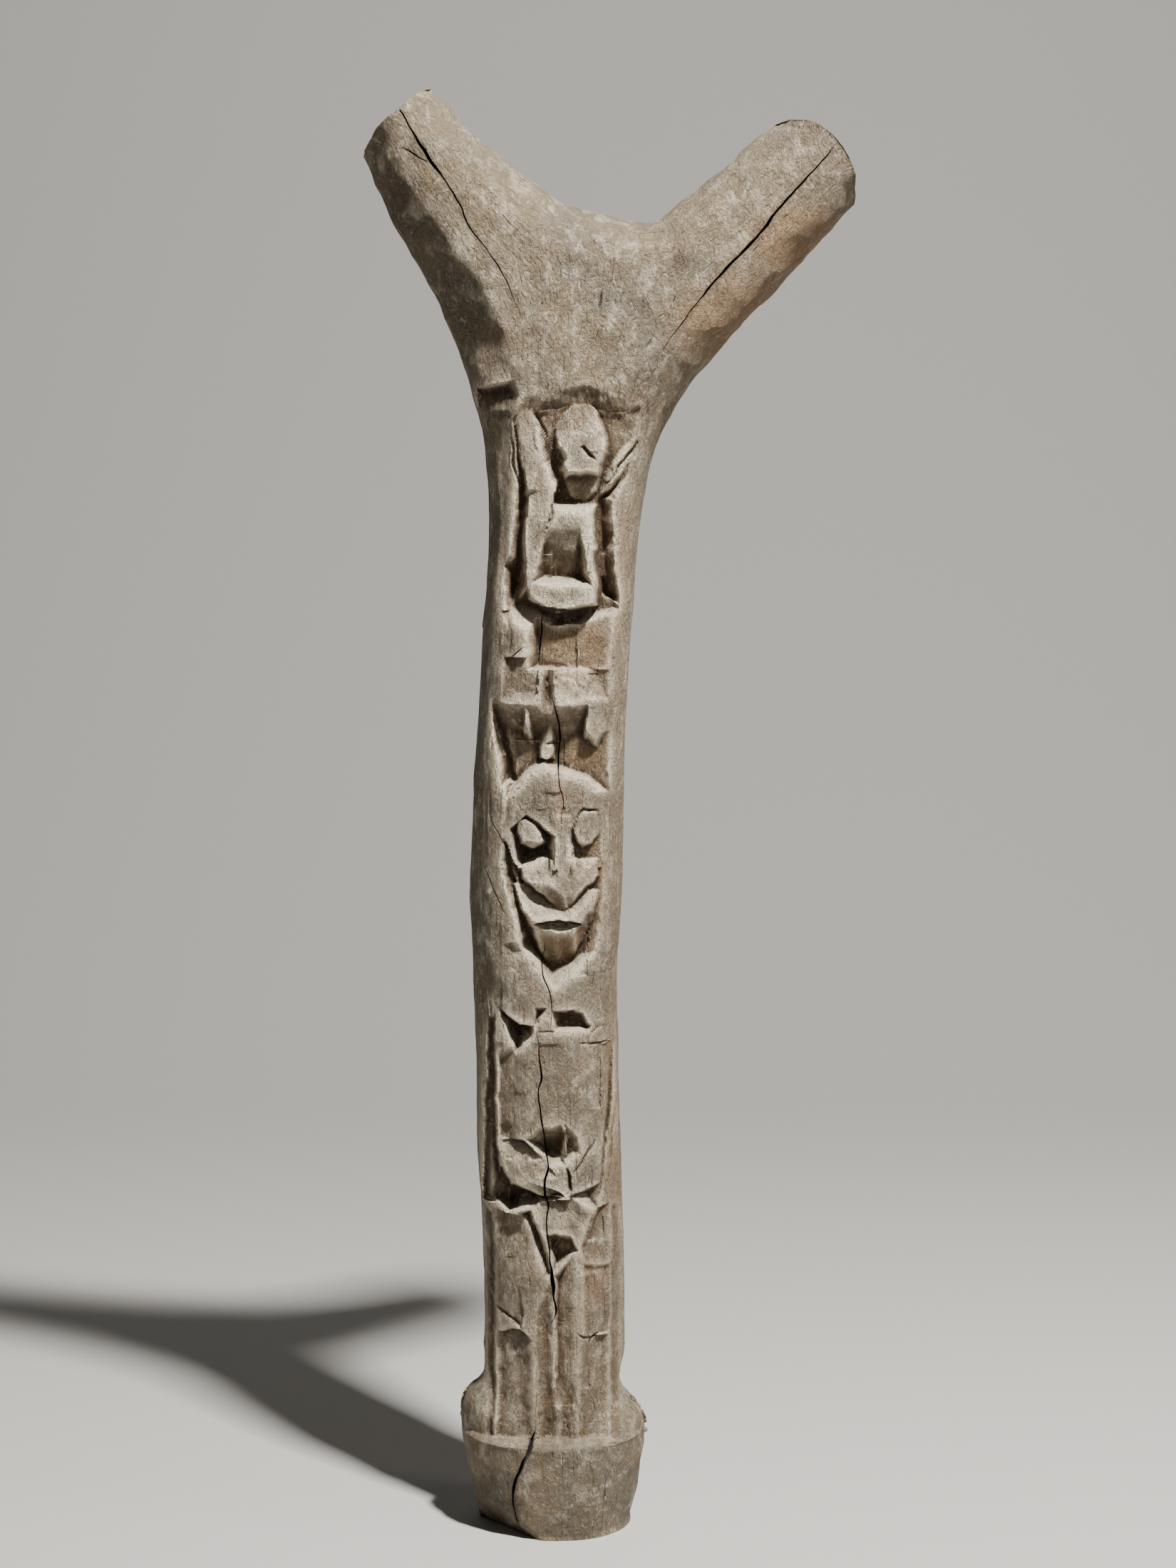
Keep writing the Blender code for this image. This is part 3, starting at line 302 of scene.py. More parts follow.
def carve_upper_field(c):
    """The sunk ground round the upper figure, which rises to meet the fork above its crown."""
    ground = c.slope(0, 684, 31.3, up=0.13)
    c.hollow("round the head and the raised arms", [(-27, 684), (40, 684), (66, 730), (57, 744), (24, 758), (-16, 752),
                                                    (-25, 738)], [OPEN, 2.0, 1.2, 0.5, 0.5, 1.0, 2.0], ground)
    c.hollow("beside the trunk", [(-31, 608), (-19, 600), (30, 604), (43, 613), (38, 690), (-27, 690)],
             [1.3, OPEN, 2.2, 1.8, OPEN, 1.7], c.slope(0, 640, 28.5, up=0.065))
    c.hollow("deep left channel", [(-32, 641), (-30, 610), (-27, 602), (-21, 612), (-18, 640), (-19, 652)],
             [2.4, 2.4, 1.8, OPEN, OPEN, OPEN], c.slope(0, 640, 22))
    c.hollow("upper part of the left channel", [(-32, 650), (-30, 628), (-18, 628), (-9, 674), (-16, 674)],
             [2.4, OPEN, OPEN, 2.2, 2.2], c.slope(0, 640, 23))
    c.hollow("deep right pit", [(31, 615), (43, 615), (43.5, 622), (39, 640), (31, 640)],
             [1.8, 2.2, 2.2, 2.4, OPEN], c.slope(0, 640, 22))
    c.hollow("hollow at the left edge", [(-47, 740), (-24, 742), (-20, 750), (-26, 759), (-48, 757)],
             [0.5, 0.6, 1.2, 1.8, OPEN], c.skin - 8)


def carve_upper_figure(c):
    """The small figure with raised arms: an egg-shaped head, a trunk with a sunk belly, and a blunt hip."""
    head = [(2, 705), (12, 687), (20, 682), (29, 688), (39, 712), (39, 726), (33, 741), (23, 753.5), (14, 752),
            (-2, 731)]
    c.stand("head", head, [2.4, 1.6, 1.6, 2.0, 2.4, 2.2, 2.4, 3.0, 2.6, 2.2], 32,
            c.slope(21, 722, 47.5, up=-0.30), c.slope(10, 722, 45.5, across=0.50, up=-0.22),
            c.slope(31, 722, 45.5, across=-0.50, up=-0.22), c.slope(19, 716, 47.5, up=0.10),
            np.maximum(c.slope(17, 702, 45.5, up=2.2), c.slope(17, 690, 34.5, up=0.25, across=0.10)))
    c.shape = c.dish(c.shape, (6, 711), (3.6, 7), 6, 8)
    c.hollow("cut under the right brow", [(18, 717), (23, 711), (29, 708), (28.5, 711), (21, 719.5)],
             [1.2, 1.2, 2, 3, 3], c.slope(24, 713, 39.5))
    c.stand("left raised arm", [(-26, 728), (-23, 700), (-20, 678), (0, 678), (0, 712), (-5, 730), (-9, 745),
                                (-19, 747), (-28, 739)], [3.0, 3.0, 1.0, 2.4, 2.4, 2.4, 3.0, 3.0, 3.0], 31,
            c.slope(-12, 715, 43, across=0.05, up=-0.07), c.slope(-20, 715, 41.5, across=0.55),
            c.slope(-5, 715, 42.0, across=-0.35))
    c.stand("left shoulder and flank", [(-21, 620), (-16, 620), (-12, 633), (-2, 668), (5, 700), (-2, 716), (-13, 708),
                                        (-18, 690), (-21, 655)], [1.5, OPEN, OPEN, OPEN, 2.4, 2.4, OPEN, 3.0, 3.0], 29,
            c.slope(-10, 670, 42.6, across=0.14))
    c.score("left arm's split", [(-10, 741), (-8, 733), (-5, 729), (-3, 723)], 1.2, 2.5)
    c.score("left arm's inner edge", [(-13, 729), (-11, 720), (-8, 714)], 1.1, 1.5)
    c.stand("right raised arm", [(29, 683), (38, 688), (50, 705), (64, 727), (61, 732), (52, 729), (39, 714),
                                 (31, 697)], [2.0, 2.4, 2.4, 2.2, 2.2, 1.8, 1.8, 1.6], 31,
            c.slope(46, 708, 42.5, across=-0.10, up=-0.12), c.slope(40, 710, 43, across=0.5, up=-0.5))
    c.score("right arm's two strips", [(56, 723), (51, 715), (43, 706), (39, 698), (34, 694)], 1.6, 4.5)
    c.raise_to(c.bar([(-27, 740), (-25, 712), (-25, 693), (-29, 668), (-32, 650)], 4.5, 38.5))
    c.score("line left of the arm", [(-27, 726), (-25, 716), (-25.5, 706), (-22, 697), (-20, 688)], 1.3, 3)
    chest = (c.slope(12, 672, 45.2, up=-0.16), c.slope(10, 650, 45), c.slope(-11, 650, 43.5, across=0.35),
             c.slope(25, 650, 43.5, across=-0.4))
    belly = np.maximum(c.slope(5, 664, 44, up=0.42), c.slope(5, 634, 32, up=-2.4))
    for start, end in (((-3, 667), (-14, 634)), ((25, 632), (17.5, 667))):
        belly = soft_max(belly, 44.5 - 1.8 * inside(c.x, c.z, start, end))
    c.stand("trunk", [(-20, 631), (-17, 619), (-5, 612), (6, 610), (16, 612.5), (30, 615), (31, 634), (30, 682),
                      (-2, 684), (-11, 664)], [4.0, 4.5, 5.0, 5.0, 5.0, 3.5, 3.0, 2.4, 2.0, 2.6], 29, *chest, belly,
            c.slope(5, 628, 45.5, up=0.10))


def carve_upper_breasts(c):
    """The neck of the large figure, and its first pair of breasts: lit top faces over deep undersides."""
    c.hollow("neck", [(-18, 575), (37, 575), (44, 612), (-18, 616)], [OPEN, 1.0, OPEN, 1.8],
             c.slope(0, 600, 31.5, across=0.06, up=-0.02))
    c.hollow("slot left of the neck", [(-33, 612), (-28, 599), (-24, 612)], [1.6, 1.6, OPEN], c.slope(-28, 605, 28))
    c.hollow("left shoulder face", [(-43, 553), (-9, 553), (-9, 578), (-18, 583.5), (-42, 582.5)],
             [0.42, OPEN, OPEN, 4.0, 0.8], np.maximum(c.slope(-9, 581, 33, across=-0.14), c.skin - 3))
    c.hollow("right shoulder face", [(2, 553), (38, 553), (39, 572), (32, 580), (2, 578)],
             [0.42, 0.8, 1.0, OPEN, OPEN], c.slope(20, 578, 33))
    c.hollow("strip between the breasts", [(-9, 538), (3, 538), (3, 578), (-9, 578)], [1.6, 1.2, OPEN, 1.2],
             c.slope(-3, 556, 41, up=-0.14))
    c.hollow("sunk ground below the breasts", [(-30, 491), (37, 491), (38, 552), (-40, 553), (-37, 520)],
             [OPEN, 1.4, 0.75, 3.5, 3.5], c.slope(0, 527, 29, across=0.05, up=0.05))
    c.hollow("deep under the left breast", [(-34, 498), (-26, 494), (-13, 527), (-21, 549), (-39, 551)],
             [3.0, OPEN, 1.0, 0.9, 3.0], c.slope(-25, 520, 24, across=0.10, up=0.08))
    c.hollow("deep under the right breast", [(3, 529), (20, 531), (20, 549), (3, 550)], [2.0, 1.4, 0.9, 2.4],
             c.slope(12, 535, 28))
    c.stand("inner flank of the left breast", [(-22, 556), (-20, 528), (-12, 523), (-7, 538), (-8, 556)],
            [4.0, 1.4, 1.6, OPEN, OPEN], 27, c.slope(-15, 545, 42, across=-0.30, up=0.20))
    c.stand("outer flank of the right breast", [(19, 556), (19, 527), (29, 519), (41, 536), (40, 556)],
            [4.0, 1.4, 1.4, OPEN, OPEN], 28, c.slope(28, 545, 40.5, across=-0.20, up=0.22))
    c.stand("post between them", [(-12, 516), (3, 516), (3.5, 540), (2, 552), (-9, 552), (-9, 540)],
            [OPEN, 2.2, OPEN, OPEN, OPEN, 1.5], 27, c.slope(-3, 545, 39, up=0.06), c.slope(-6, 530, 36, up=0.12))
    c.hollow("notch in the post", [(-5, 530), (3.5, 530), (3.5, 534), (-1, 536.5)], [1.4, OPEN, 2.5, 2.5],
             c.slope(0, 532, 31))
    c.score("ledge above the brow", [(-5, 526), (4, 526)], 1.3, 3)


def carve_face(c):
    """The mask-like face: a peaked forehead, two eye bosses in sockets, a broad wedge nose and a crescent mouth."""
    c.hollow("throat", [(-22, 394), (1, 366), (29, 391), (33, 436), (-28, 436)], [4.0, 3.0, 1.2, OPEN, 2.5],
             c.slope(0, 385, 28.5, across=0.12))
    c.hollow("ground of the mask", [(-29, 494), (-33, 470), (-32, 440), (-27, 418), (-15, 394), (22, 394), (31, 406),
                                    (35, 440), (37, 499), (4, 522)],
             [1.6, 1.7, 1.7, 1.7, OPEN, 1.2, 1.0, 1.0, OPEN, OPEN], c.slope(0, 440, 30.5, across=0.08))
    c.stand("forehead", [(4, 519), (-15, 510), (-30, 492), (-35, 470), (-22, 444), (33, 444), (37, 472), (38, 499),
                         (24, 504)], [5.0, 5.0, 4.0, OPEN, OPEN, OPEN, OPEN, 5.0, 5.0], 30,
            c.slope(4, 480, 46.3, across=0.20, up=-0.05), c.slope(4, 480, 46.3, across=-0.22, up=-0.05),
            c.slope(0, 505, 44.5, up=-0.22))
    c.hollow("left eye socket", [(-30, 470), (-25, 452), (-22, 442), (0, 442), (3.5, 466), (-8, 476), (-18, 482)],
             [2.4, 3.0, OPEN, 3.0, 3.5, 3.5, 3.0], c.slope(-10, 460, 29))
    c.hollow("right eye socket", [(12.5, 443.5), (31, 443.5), (34, 464), (31, 484), (19, 485.5), (11.5, 470)],
             [OPEN, 2.0, 2.0, 2.0, 2.6, 2.5], c.slope(20, 455, 35.8, across=-0.1, up=0.05))
    c.stand("left eye", [(-26, 468), (-22, 459.5), (-12, 456), (-3, 459.5), (-1.5, 464), (-8, 476), (-17, 480.5),
                         (-26, 478)], [3.2, 3.2, 3.2, 3.2, 3.2, 3.6, 3.6, 3.2], 30,
            c.slope(-13, 467, 43.8, up=-0.30), c.slope(-20, 469, 42.4, across=0.40, up=-0.20),
            c.slope(-7, 467, 43.2, across=-0.4, up=-0.25), c.slope(-13, 462, 43.5, up=1.4, across=0.15))
    c.stand("right eye", [(11.5, 469), (18.5, 458), (26, 461), (32, 470), (28.5, 481.5), (20, 484.5), (13, 477)],
            [3.0, 3.0, 3.0, 3.0, 3.5, 3.5, 3.0], 37, c.slope(16, 470, 44.6, up=-0.20, across=0.35),
            c.slope(24, 471, 45.6, across=-0.35, up=-0.30), c.slope(20, 463, 44, up=1.4))
    c.stand("left side of the nose", [(-23, 447), (-22, 438), (5, 411), (9, 420), (9, 457), (-4, 455.5)],
            [3.2, 3.2, OPEN, OPEN, 2.4, 3.2], 30, c.slope(-5, 440, 44.2, up=-0.42, across=0.08),
            c.slope(-15, 441, 42.5, up=-0.25, across=0.35), c.slope(-2, 430, 45.0, up=0.42, across=0.25))
    c.stand("right side of the nose", [(7, 413), (20, 427), (31, 440), (31, 451), (9, 451)],
            [3.0, 3.0, 2.6, 3.0, OPEN], 34, c.slope(15, 437, 44.6, up=-0.38, across=-0.14),
            c.slope(17, 431, 44.2, up=0.45, across=-0.30))
    c.stand("bridge and front of the nose", [(-1, 480), (-1.5, 462), (-1, 450), (2.5, 430), (4, 420), (10.5, 420),
                                             (12, 430), (14.5, 450), (15, 480)],
            [2.6, 2.6, 3.5, 4.0, OPEN, 4.0, 3.5, 2.6, OPEN], 37, c.slope(6, 450, 47.5), c.slope(6, 430, 46.3, up=0.35))
    c.stand("saddle of the nose", [(-2, 452), (-3, 438), (17, 438), (16, 452)], [OPEN] * 4, 30, c.slope(7, 447, 44.5))
    bow = 0.020 * (c.x - 4) ** 2
    lip = 46.3 - 0.62 * (c.z - 410 - bow) - 0.10 * np.abs(c.x - 4)
    chin = c.slope(3, 403, 44.2, up=0.62) - 0.16 * np.abs(c.x - 3)
    c.stand("lower face", [(-27, 436), (-24, 419), (-19, 403), (-9, 388), (3, 368), (14, 380), (23, 396), (30, 410),
                           (34, 430)], [4.0, 4.0, 3.5, 2.4, 1.6, 1.3, 1.5, 2.0, OPEN], 28, lip, chin)
    c.hollow("mouth", [(-14, 409.5), (-6, 404.2), (3, 402.4), (12, 402.8), (21, 408.5), (12, 411), (-4, 410.8)],
             [6, 6, 6, 6, 6, 6, 6], c.slope(3, 409.5, 37.0, up=-0.85))
    c.raise_to(c.bar([(-27, 456), (-25, 446), (-21.5, 434)], 1.0, 36, steep=2.2))


def carve_lower_breasts(c):
    """The second pair of breasts, whose top faces rise out of the throat."""
    c.hollow("left top face", [(-34, 361), (-8, 357), (2, 358), (1, 369), (-22, 397), (-41, 394)],
             [0.35, OPEN, OPEN, OPEN, 0.6, 0.35], c.slope(-12, 360, 46.5, up=-0.14, across=0.06))
    c.hollow("right top face", [(0, 361), (18, 359), (33, 349), (40, 368), (36, 394), (29, 394), (1, 369)],
             [OPEN, 0.6, 0.35, 0.4, 0.6, OPEN, OPEN], c.slope(14, 360, 46.5, up=-0.17, across=-0.22))
    c.hollow("outer part under the left breast", [(-36, 354), (-24, 320), (-19, 326), (-21, 343)],
             [3.5, 2.4, OPEN, 5.0], c.slope(-24, 335, 29))
    c.hollow("inner part under the left breast", [(-23, 322), (-13, 333), (-12, 342), (-21, 343.5)],
             [2.0, 2.6, 5.0, OPEN], c.slope(-20, 335, 29))
    c.hollow("beside the left breast's tip", [(-12, 341), (-8, 343), (-3, 354.5), (-11, 354)], [2.0, 2.0, 2.2, 2.0],
             c.slope(-8, 350, 38, across=0.2))
    c.hollow("under the right breast", [(1, 338), (24, 337.5), (26, 341), (20, 349.5), (14, 353), (0.5, 352.5)],
             [4.0, 2.5, 1.8, 2.0, 3.0, 2.5], c.slope(12, 342, 33.5, up=0.10))
    c.score("edge of the belly's top", [(-11, 337.5), (-4, 338), (3, 337)], 0.9, 1.6)
    c.score("right of the right breast", [(24, 336), (30, 340), (36, 341)], 0.9, 1.6)
    c.score("lap on the right", [(18, 329.5), (26, 329), (39, 330.5)], 1.0, 3.2)


def carve_belly_and_hands(c):
    """The long belly, and the two hands that meet below it."""
    c.hollow("left of the belly", [(-46, 222), (-36, 222), (-36.5, 300), (-37.5, 347), (-43, 347), (-46, 285)],
             [OPEN, 2.6, 2.6, 1.2, 1.4, OPEN], c.skin - 5)
    c.hollow("left panel of the belly", [(-36, 268), (-9, 262), (-9, 338), (-36, 322)], [OPEN, OPEN, 0.6, 1.6],
             c.skin + 0.13 * (c.x + 9))
    c.hollow("right panel of the belly", [(20, 255), (39, 262), (40, 329), (20, 329)], [0.2, 0.8, OPEN, OPEN],
             c.skin - 0.13 * (c.x - 20))
    c.hollow("fold over the hands", [(-3, 249.5), (8.5, 249.5), (9, 272), (5, 277), (-9, 274.5), (-20, 268)],
             [3.0, 3.0, 1.6, 1.0, 1.0, 3.0], c.slope(4, 262, 33))
    c.hollow("right side of the fold", [(8, 250), (18, 257), (15.5, 268), (8, 278)], [1.6, 1.0, 1.0, OPEN],
             c.slope(9, 262, 38.5, across=0.45))
    c.hollow("upper face of the left hand", [(-34, 251), (-25, 243), (-10, 236), (5, 232), (8, 237), (-5, 253),
                                             (-20, 267), (-31, 267), (-36, 262)],
             [OPEN, OPEN, OPEN, OPEN, OPEN, OPEN, 3.0, 3.0, OPEN], c.slope(-12, 240, 46.4, up=-0.30, across=0.06))
    c.hollow("knuckles of the left hand", [(-30, 240), (-9, 229), (8, 229), (5, 232), (-25, 243)], [OPEN] * 5,
             c.slope(-12, 240, 46.5, up=0.50, across=0.03))
    c.hollow("left of the left hand", [(-43, 276), (-43, 228), (-36, 222), (-33.5, 248), (-38, 275)],
             [1.6, 4.0, OPEN, 3.0, 2.0], c.slope(-38, 240, 24))
    c.hollow("below the left wrist", [(-40, 226), (-29, 217), (-22, 221), (-24, 237), (-33.5, 248)],
             [4.0, OPEN, OPEN, 3.2, OPEN], c.slope(-30, 230, 24))
    c.hollow("below the left hand", [(-27, 218.5), (-8, 223), (-8, 231.3), (-26, 239)], [4.0, OPEN, 3.2, OPEN],
             c.slope(-20, 228, 25, across=0.2))
    c.hollow("below the finger tips", [(-9, 223), (6, 226), (8, 228.5), (-9, 231.5)], [3.0, 2.5, 3.2, OPEN],
             c.slope(-9, 228, 27.5, across=0.5))
    c.hollow("below the right hand", [(11, 226), (30, 219), (33, 238), (28, 236.5), (19, 232), (12, 230)],
             [1.2, 1.2, 2.0, 2.6, 2.6, 2.6], c.slope(20, 230, 35))
    c.hollow("upper face of the right hand", [(13, 246), (20, 240), (29, 252), (29, 264), (20, 257)],
             [OPEN, OPEN, 1.0, 2.5, 1.2], c.slope(18, 246, 46.5, up=-0.30))
    c.score("between the hands", [(9, 248), (11, 241), (11.5, 236), (13, 228)], 1.6, 5)
    c.score("edge of the right hand", [(29, 266), (20, 253), (13, 243)], 1.2, 2.5)
    c.score("right forearm", [(40, 335), (37, 285), (33.5, 250), (30, 225)], 1.6, 3)
    c.score("second line of the forearm", [(43, 300), (39, 260), (36, 232)], 1.2, 2)


def carve_legs(c):
    """The pelvis, and two legs bent at the knee that run down to the plinth."""
    c.hollow("top face of the pelvis", [(-9, 204), (14, 201), (26, 212), (18, 227), (-20, 224)],
             [0.30, 0.32, 0.5, OPEN, OPEN], c.skin - 6 - 0.1 * (c.z - 215))
    c.hollow("left groin", [(-3, 174), (1, 174), (-2, 190), (-14, 222), (-23, 218)], [1.2, 1.6, 2.4, 2.4, 2.4],
             c.skin - 11)
    c.hollow("under the pelvis", [(0, 177), (16.5, 193), (12, 202), (3, 205.5), (-4, 203)], [5.0, 3.0, 1.6, 1.6, 2.4],
             c.slope(4, 190, 37, across=0.30, up=0.1))
    c.hollow("top of the left thigh", [(-38, 188), (-20, 180), (-5, 184), (-18, 215), (-40, 219)],
             [0.25, 0.25, OPEN, OPEN, 0.6], c.skin - 5)
    c.hollow("top of the right thigh", [(22, 183), (38, 181), (41, 200), (38, 222), (29, 220), (17, 195)],
             [0.30, 0.30, 0.6, OPEN, 1.2, 1.2], c.skin - 7)
    c.hollow("outer face of the left knee", [(-40, 147), (-22, 140), (-19, 150), (-21.5, 170), (-30, 178), (-40, 190)],
             [OPEN, OPEN, 1.4, 0.9, 0.5, OPEN], c.slope(-20, 150, 41, across=0.30, up=0.05))
    c.hollow("inner face of the right thigh", [(1, 88), (15, 80), (20, 135), (20.5, 187), (15.5, 193), (1, 176)],
             [0.25, OPEN, OPEN, OPEN, 1.6, 1.6], c.slope(1, 150, 39.5, across=0.40))
    c.hollow("front of the right thigh", [(20, 134), (39, 134), (40, 182), (20, 184)], [OPEN, 0.7, 0.6, 0.8],
             c.skin - 2)
    c.hollow("left shin", [(-38, 55), (-12, 55), (-13, 143), (-23, 139.5), (-38, 150)], [OPEN, 0.5, 5.0, 5.0, 0.9],
             c.skin - 3.2 - 0.09 * np.abs(c.x + 25) + 0.02 * np.maximum(110 - c.z, 0))
    c.hollow("between the legs", [(-12, 55), (3, 55), (3, 170), (-1, 173), (-12, 150)], [OPEN, 0.5, 1.2, 0.8, 0.5],
             c.skin - 4.2 + 0.02 * np.maximum(110 - c.z, 0))
    c.hollow("foot of the right inner face", [(4, 60), (14, 60), (16, 98), (9, 122), (4, 140)],
             [OPEN, 0.5, 0.5, 0.4, 0.5], c.skin - 3.5)
    c.hollow("right shin", [(17, 55), (38, 55), (39, 133), (17, 134.5)], [OPEN, 0.5, 4.0, 0.5],
             c.skin - 3 + 0.02 * np.maximum(110 - c.z, 0))
    c.hollow("left edge of the legs", [(-44, 60), (-38, 60), (-37, 190), (-38, 216), (-45, 216)],
             [OPEN, 1.2, 1.2, 1.2, 0.8], c.skin - 4)
    c.hollow("right edge of the legs", [(37, 60), (45, 60), (45, 215), (40, 222), (37, 215)],
             [OPEN, 0.4, 0.8, 0.6, 0.6], c.skin - 2)
    c.score("left knee", [(-38, 153), (-33, 149), (-28, 146), (-22, 141)], 1.4, 3)
    c.score("right knee", [(16, 136), (20, 133.5), (25, 132.5), (31, 135.5)], 1.2, 3)


# %% [markdown]
# ## The whole front as one height
# Every carving call above takes arrays, so the front of the post is one function of x and z. The lines are nudged by
# a little noise first, because a hand-cut edge wanders by a millimetre.

# %% The height of the front
def front_height(x, z):
    """The log's depth, carved above the plinth's ledge, with the plinth's left corner worn off as one slanting face."""
    flat = np.stack([x, z, np.zeros_like(x)], axis=-1)
    x_drawn = x + 0.8 * noise(flat, 14, 1) + 0.6 * noise(flat, 4.5, 2)
    z_drawn = z + 0.8 * noise(flat, 14, 3) + 0.6 * noise(flat, 4.5, 4)
    skin = depths(x, z, FRONT_DEPTH)
    c = Carving(x_drawn, z_drawn, skin)
    for carve in (carve_upper_field, carve_upper_figure, carve_upper_breasts, carve_face, carve_lower_breasts,
                  carve_belly_and_hands, carve_legs):
        carve(c)
    shape = skin - (skin - c.shape) * ramp(z, LEDGE_LOW, LEDGE_HIGH)
    worn_corner = 57 + 1.4 * (x + 5) + 1.5 * z
    return soft_min(shape, worn_corner, 2.0)


# %% [markdown]
# ## The grid
# Two halves, left and right of the heart line, are each a grid of rows up the stem and on along one arm. The columns
# crowd at the outer edge, where the log turns away, and the rows crowd at the crotch, where they swing over.

# %% Grid rows and columns
FRONT_COLUMNS, BACK_COLUMNS = 78, 26
ROW_STEP = 0.85
ARM_ROWS = 120
CAP_ROWS = 40


def row_heights():
    """Heights of the stem's rows at its heart line, close together on the plinth's ledge and at the crotch."""
    plinth = np.concatenate([np.arange(0, 60, 1.3), np.arange(60, 68, 0.5)])
    stem = np.arange(68, 756, ROW_STEP)
    crotch = 756 + (CROTCH[1] - 756) * np.sin(np.linspace(0, np.pi / 2, 120))
    return np.concatenate([plinth, stem, crotch])


def half_plan(side, outline, crotch, end, columns):
    """Front view of one half: grid rows from its outer edge to its heart line, then along its arm to its sawn end."""
    heights = row_heights()
    fan = np.maximum(heights - FAN_START, 0) / (CROTCH[1] - FAN_START)
    outer_z = np.minimum(heights, FAN_START) + fan * (FAN_OUTER[side] - FAN_START)
    outer = np.stack([by_height(outline, outer_z), outer_z], axis=1)
    heart = np.stack([by_height(HEART, heights), heights], axis=1)
    arm_z = np.linspace(FAN_OUTER[side], outline[-1][1], ARM_ROWS + 1)[1:]
    arm_outer = np.stack([by_height(outline, arm_z), arm_z], axis=1)
    outer = np.concatenate([outer, arm_outer])
    inner = np.concatenate([heart, along_path(crotch, ARM_ROWS + 1)[1:]])
    arm = np.concatenate([ramp(heights, FAN_START, CROTCH[1]), np.ones(ARM_ROWS)])
    turn = np.linspace(0, 1, columns + 1)
    in_stem = 1 - np.cos(turn * np.pi / 2)
    in_arm = (1 - np.cos(turn * np.pi)) / 2
    share = in_stem + arm[:, None] * (in_arm - in_stem)
    plan = outer[:, None] + share[..., None] * (inner - outer)[:, None]
    sawn = along_path(end, 200)
    across = np.linspace(0, 1, 200)
    bulge = np.stack([np.interp(share[-1], across, sawn[:, axis]) for axis in (0, 1)], axis=1) - plan[-1]
    progress = np.concatenate([np.zeros(len(heights)), np.linspace(0, 1, ARM_ROWS + 1)[1:]])
    return plan + (progress**5)[:, None, None] * bulge


# %% A closed skin made of sheets
class Shell:
    """The points and triangles of a closed skin, whose sheets share the points along their seams."""

    def __init__(self):
        self.points, self.sheets = np.zeros((0, 3)), []

    def add(self, points):
        """Add a sheet of points and give back their numbers."""
        numbers = len(self.points) + np.arange(points[..., 0].size).reshape(points.shape[:-1])
        self.points = np.concatenate([self.points, points.reshape(-1, 3)])
        return numbers

    def sheet(self, numbers, flip=False):
        """Two triangles for each square of a grid of point numbers, without those whose corners fall together."""
        a, b, c, d = (numbers[:-1, :-1], numbers[:-1, 1:], numbers[1:, 1:], numbers[1:, :-1])
        corners = np.concatenate([np.stack([p.ravel() for p in three], axis=1) for three in ((a, b, c), (a, c, d))])
        first, second, third = corners.T
        whole = corners[(first != second) & (second != third) & (third != first)]
        self.sheets.append(whole[:, ::-1] if flip else whole)

    def close(self, front, back, flip=False):
        """Fill the flat end between a front row and the back row behind it, whose fewer points are used in turn."""
        turn = np.linspace(0, len(back) - 1, len(front))
        back = back[np.round(turn).astype(int)]
        depth = np.linspace(0, 1, CAP_ROWS + 1)[:, None, None]
        between = (1 - depth) * self.points[front] + depth * self.points[back]
        numbers = np.concatenate([front[None], self.add(between[1:-1]), back[None]])
        numbers[:, 0], numbers[:, -1] = front[0], front[-1]
        self.sheet(numbers, flip)

    def finished(self):
        """The points that are used, and the triangles renumbered to match."""
        triangles = np.concatenate(self.sheets)
        used, numbers = np.unique(triangles, return_inverse=True)
        return self.points[used], numbers.reshape(triangles.shape)


# %% Front and back of each half, joined to one skin
def skin_grids(shell, side, outline, crotch, end):
    """The front and back grids of one half, which share their outer edge and their edge inside the fork."""
    fork = len(row_heights()) - 1
    front_plan = half_plan(side, outline, crotch, end, FRONT_COLUMNS)
    back_plan = half_plan(side, outline, crotch, end, BACK_COLUMNS)
    numbers = []
    for plan, y in ((front_plan, -front_height(*np.moveaxis(front_plan, -1, 0))),
                    (back_plan, depths(*np.moveaxis(back_plan, -1, 0), BACK_DEPTH))):
        y[:, 0] = 0
        y[fork:, -1] = 0
        numbers.append(shell.add(np.stack([plan[..., 0], y, plan[..., 1]], axis=-1)))
    front, back = numbers
    back[:, 0] = front[:, 0]
    back[fork:, -1] = front[fork:, -1]
    return front, back


def build_shell():
    """Both halves, the sawn ends of the arms, and the underside."""
    shell = Shell()
    left_front, left_back = skin_grids(shell, "left", LEFT_SIDE, LEFT_CROTCH, LEFT_END)
    right_front, right_back = skin_grids(shell, "right", RIGHT_SIDE, RIGHT_CROTCH, RIGHT_END)
    heart = len(row_heights())
    right_front[:heart, -1] = left_front[:heart, -1]
    right_back[:heart, -1] = left_back[:heart, -1]
    shell.sheet(left_front)
    shell.sheet(left_back, flip=True)
    shell.sheet(right_front, flip=True)
    shell.sheet(right_back)
    shell.close(left_front[-1], left_back[-1])
    shell.close(right_front[-1], right_back[-1], flip=True)
    underside = [np.concatenate([left[0], right[0, -2::-1]]) for left, right in
                 ((left_front, right_front), (left_back, right_back))]
    shell.close(*underside, flip=True)
    return shell.finished()


points, triangles = build_shell()
print("the smooth skin has", len(points), "points and", len(triangles), "triangles")

# %% [markdown]
# ## Adze and knife marks
# Each part of the post was dressed with its own stroke: short broad cuts on the fork and plinth, long pulls with a
# drawknife down the sides, and small knife facets inside the carving. The cuts are three-dimensional cells, so they
# run round the edges with no seam. Every point moves straight in along the surface's own direction, and inside the
# carving it only moves back, so that no wall can fold over another.

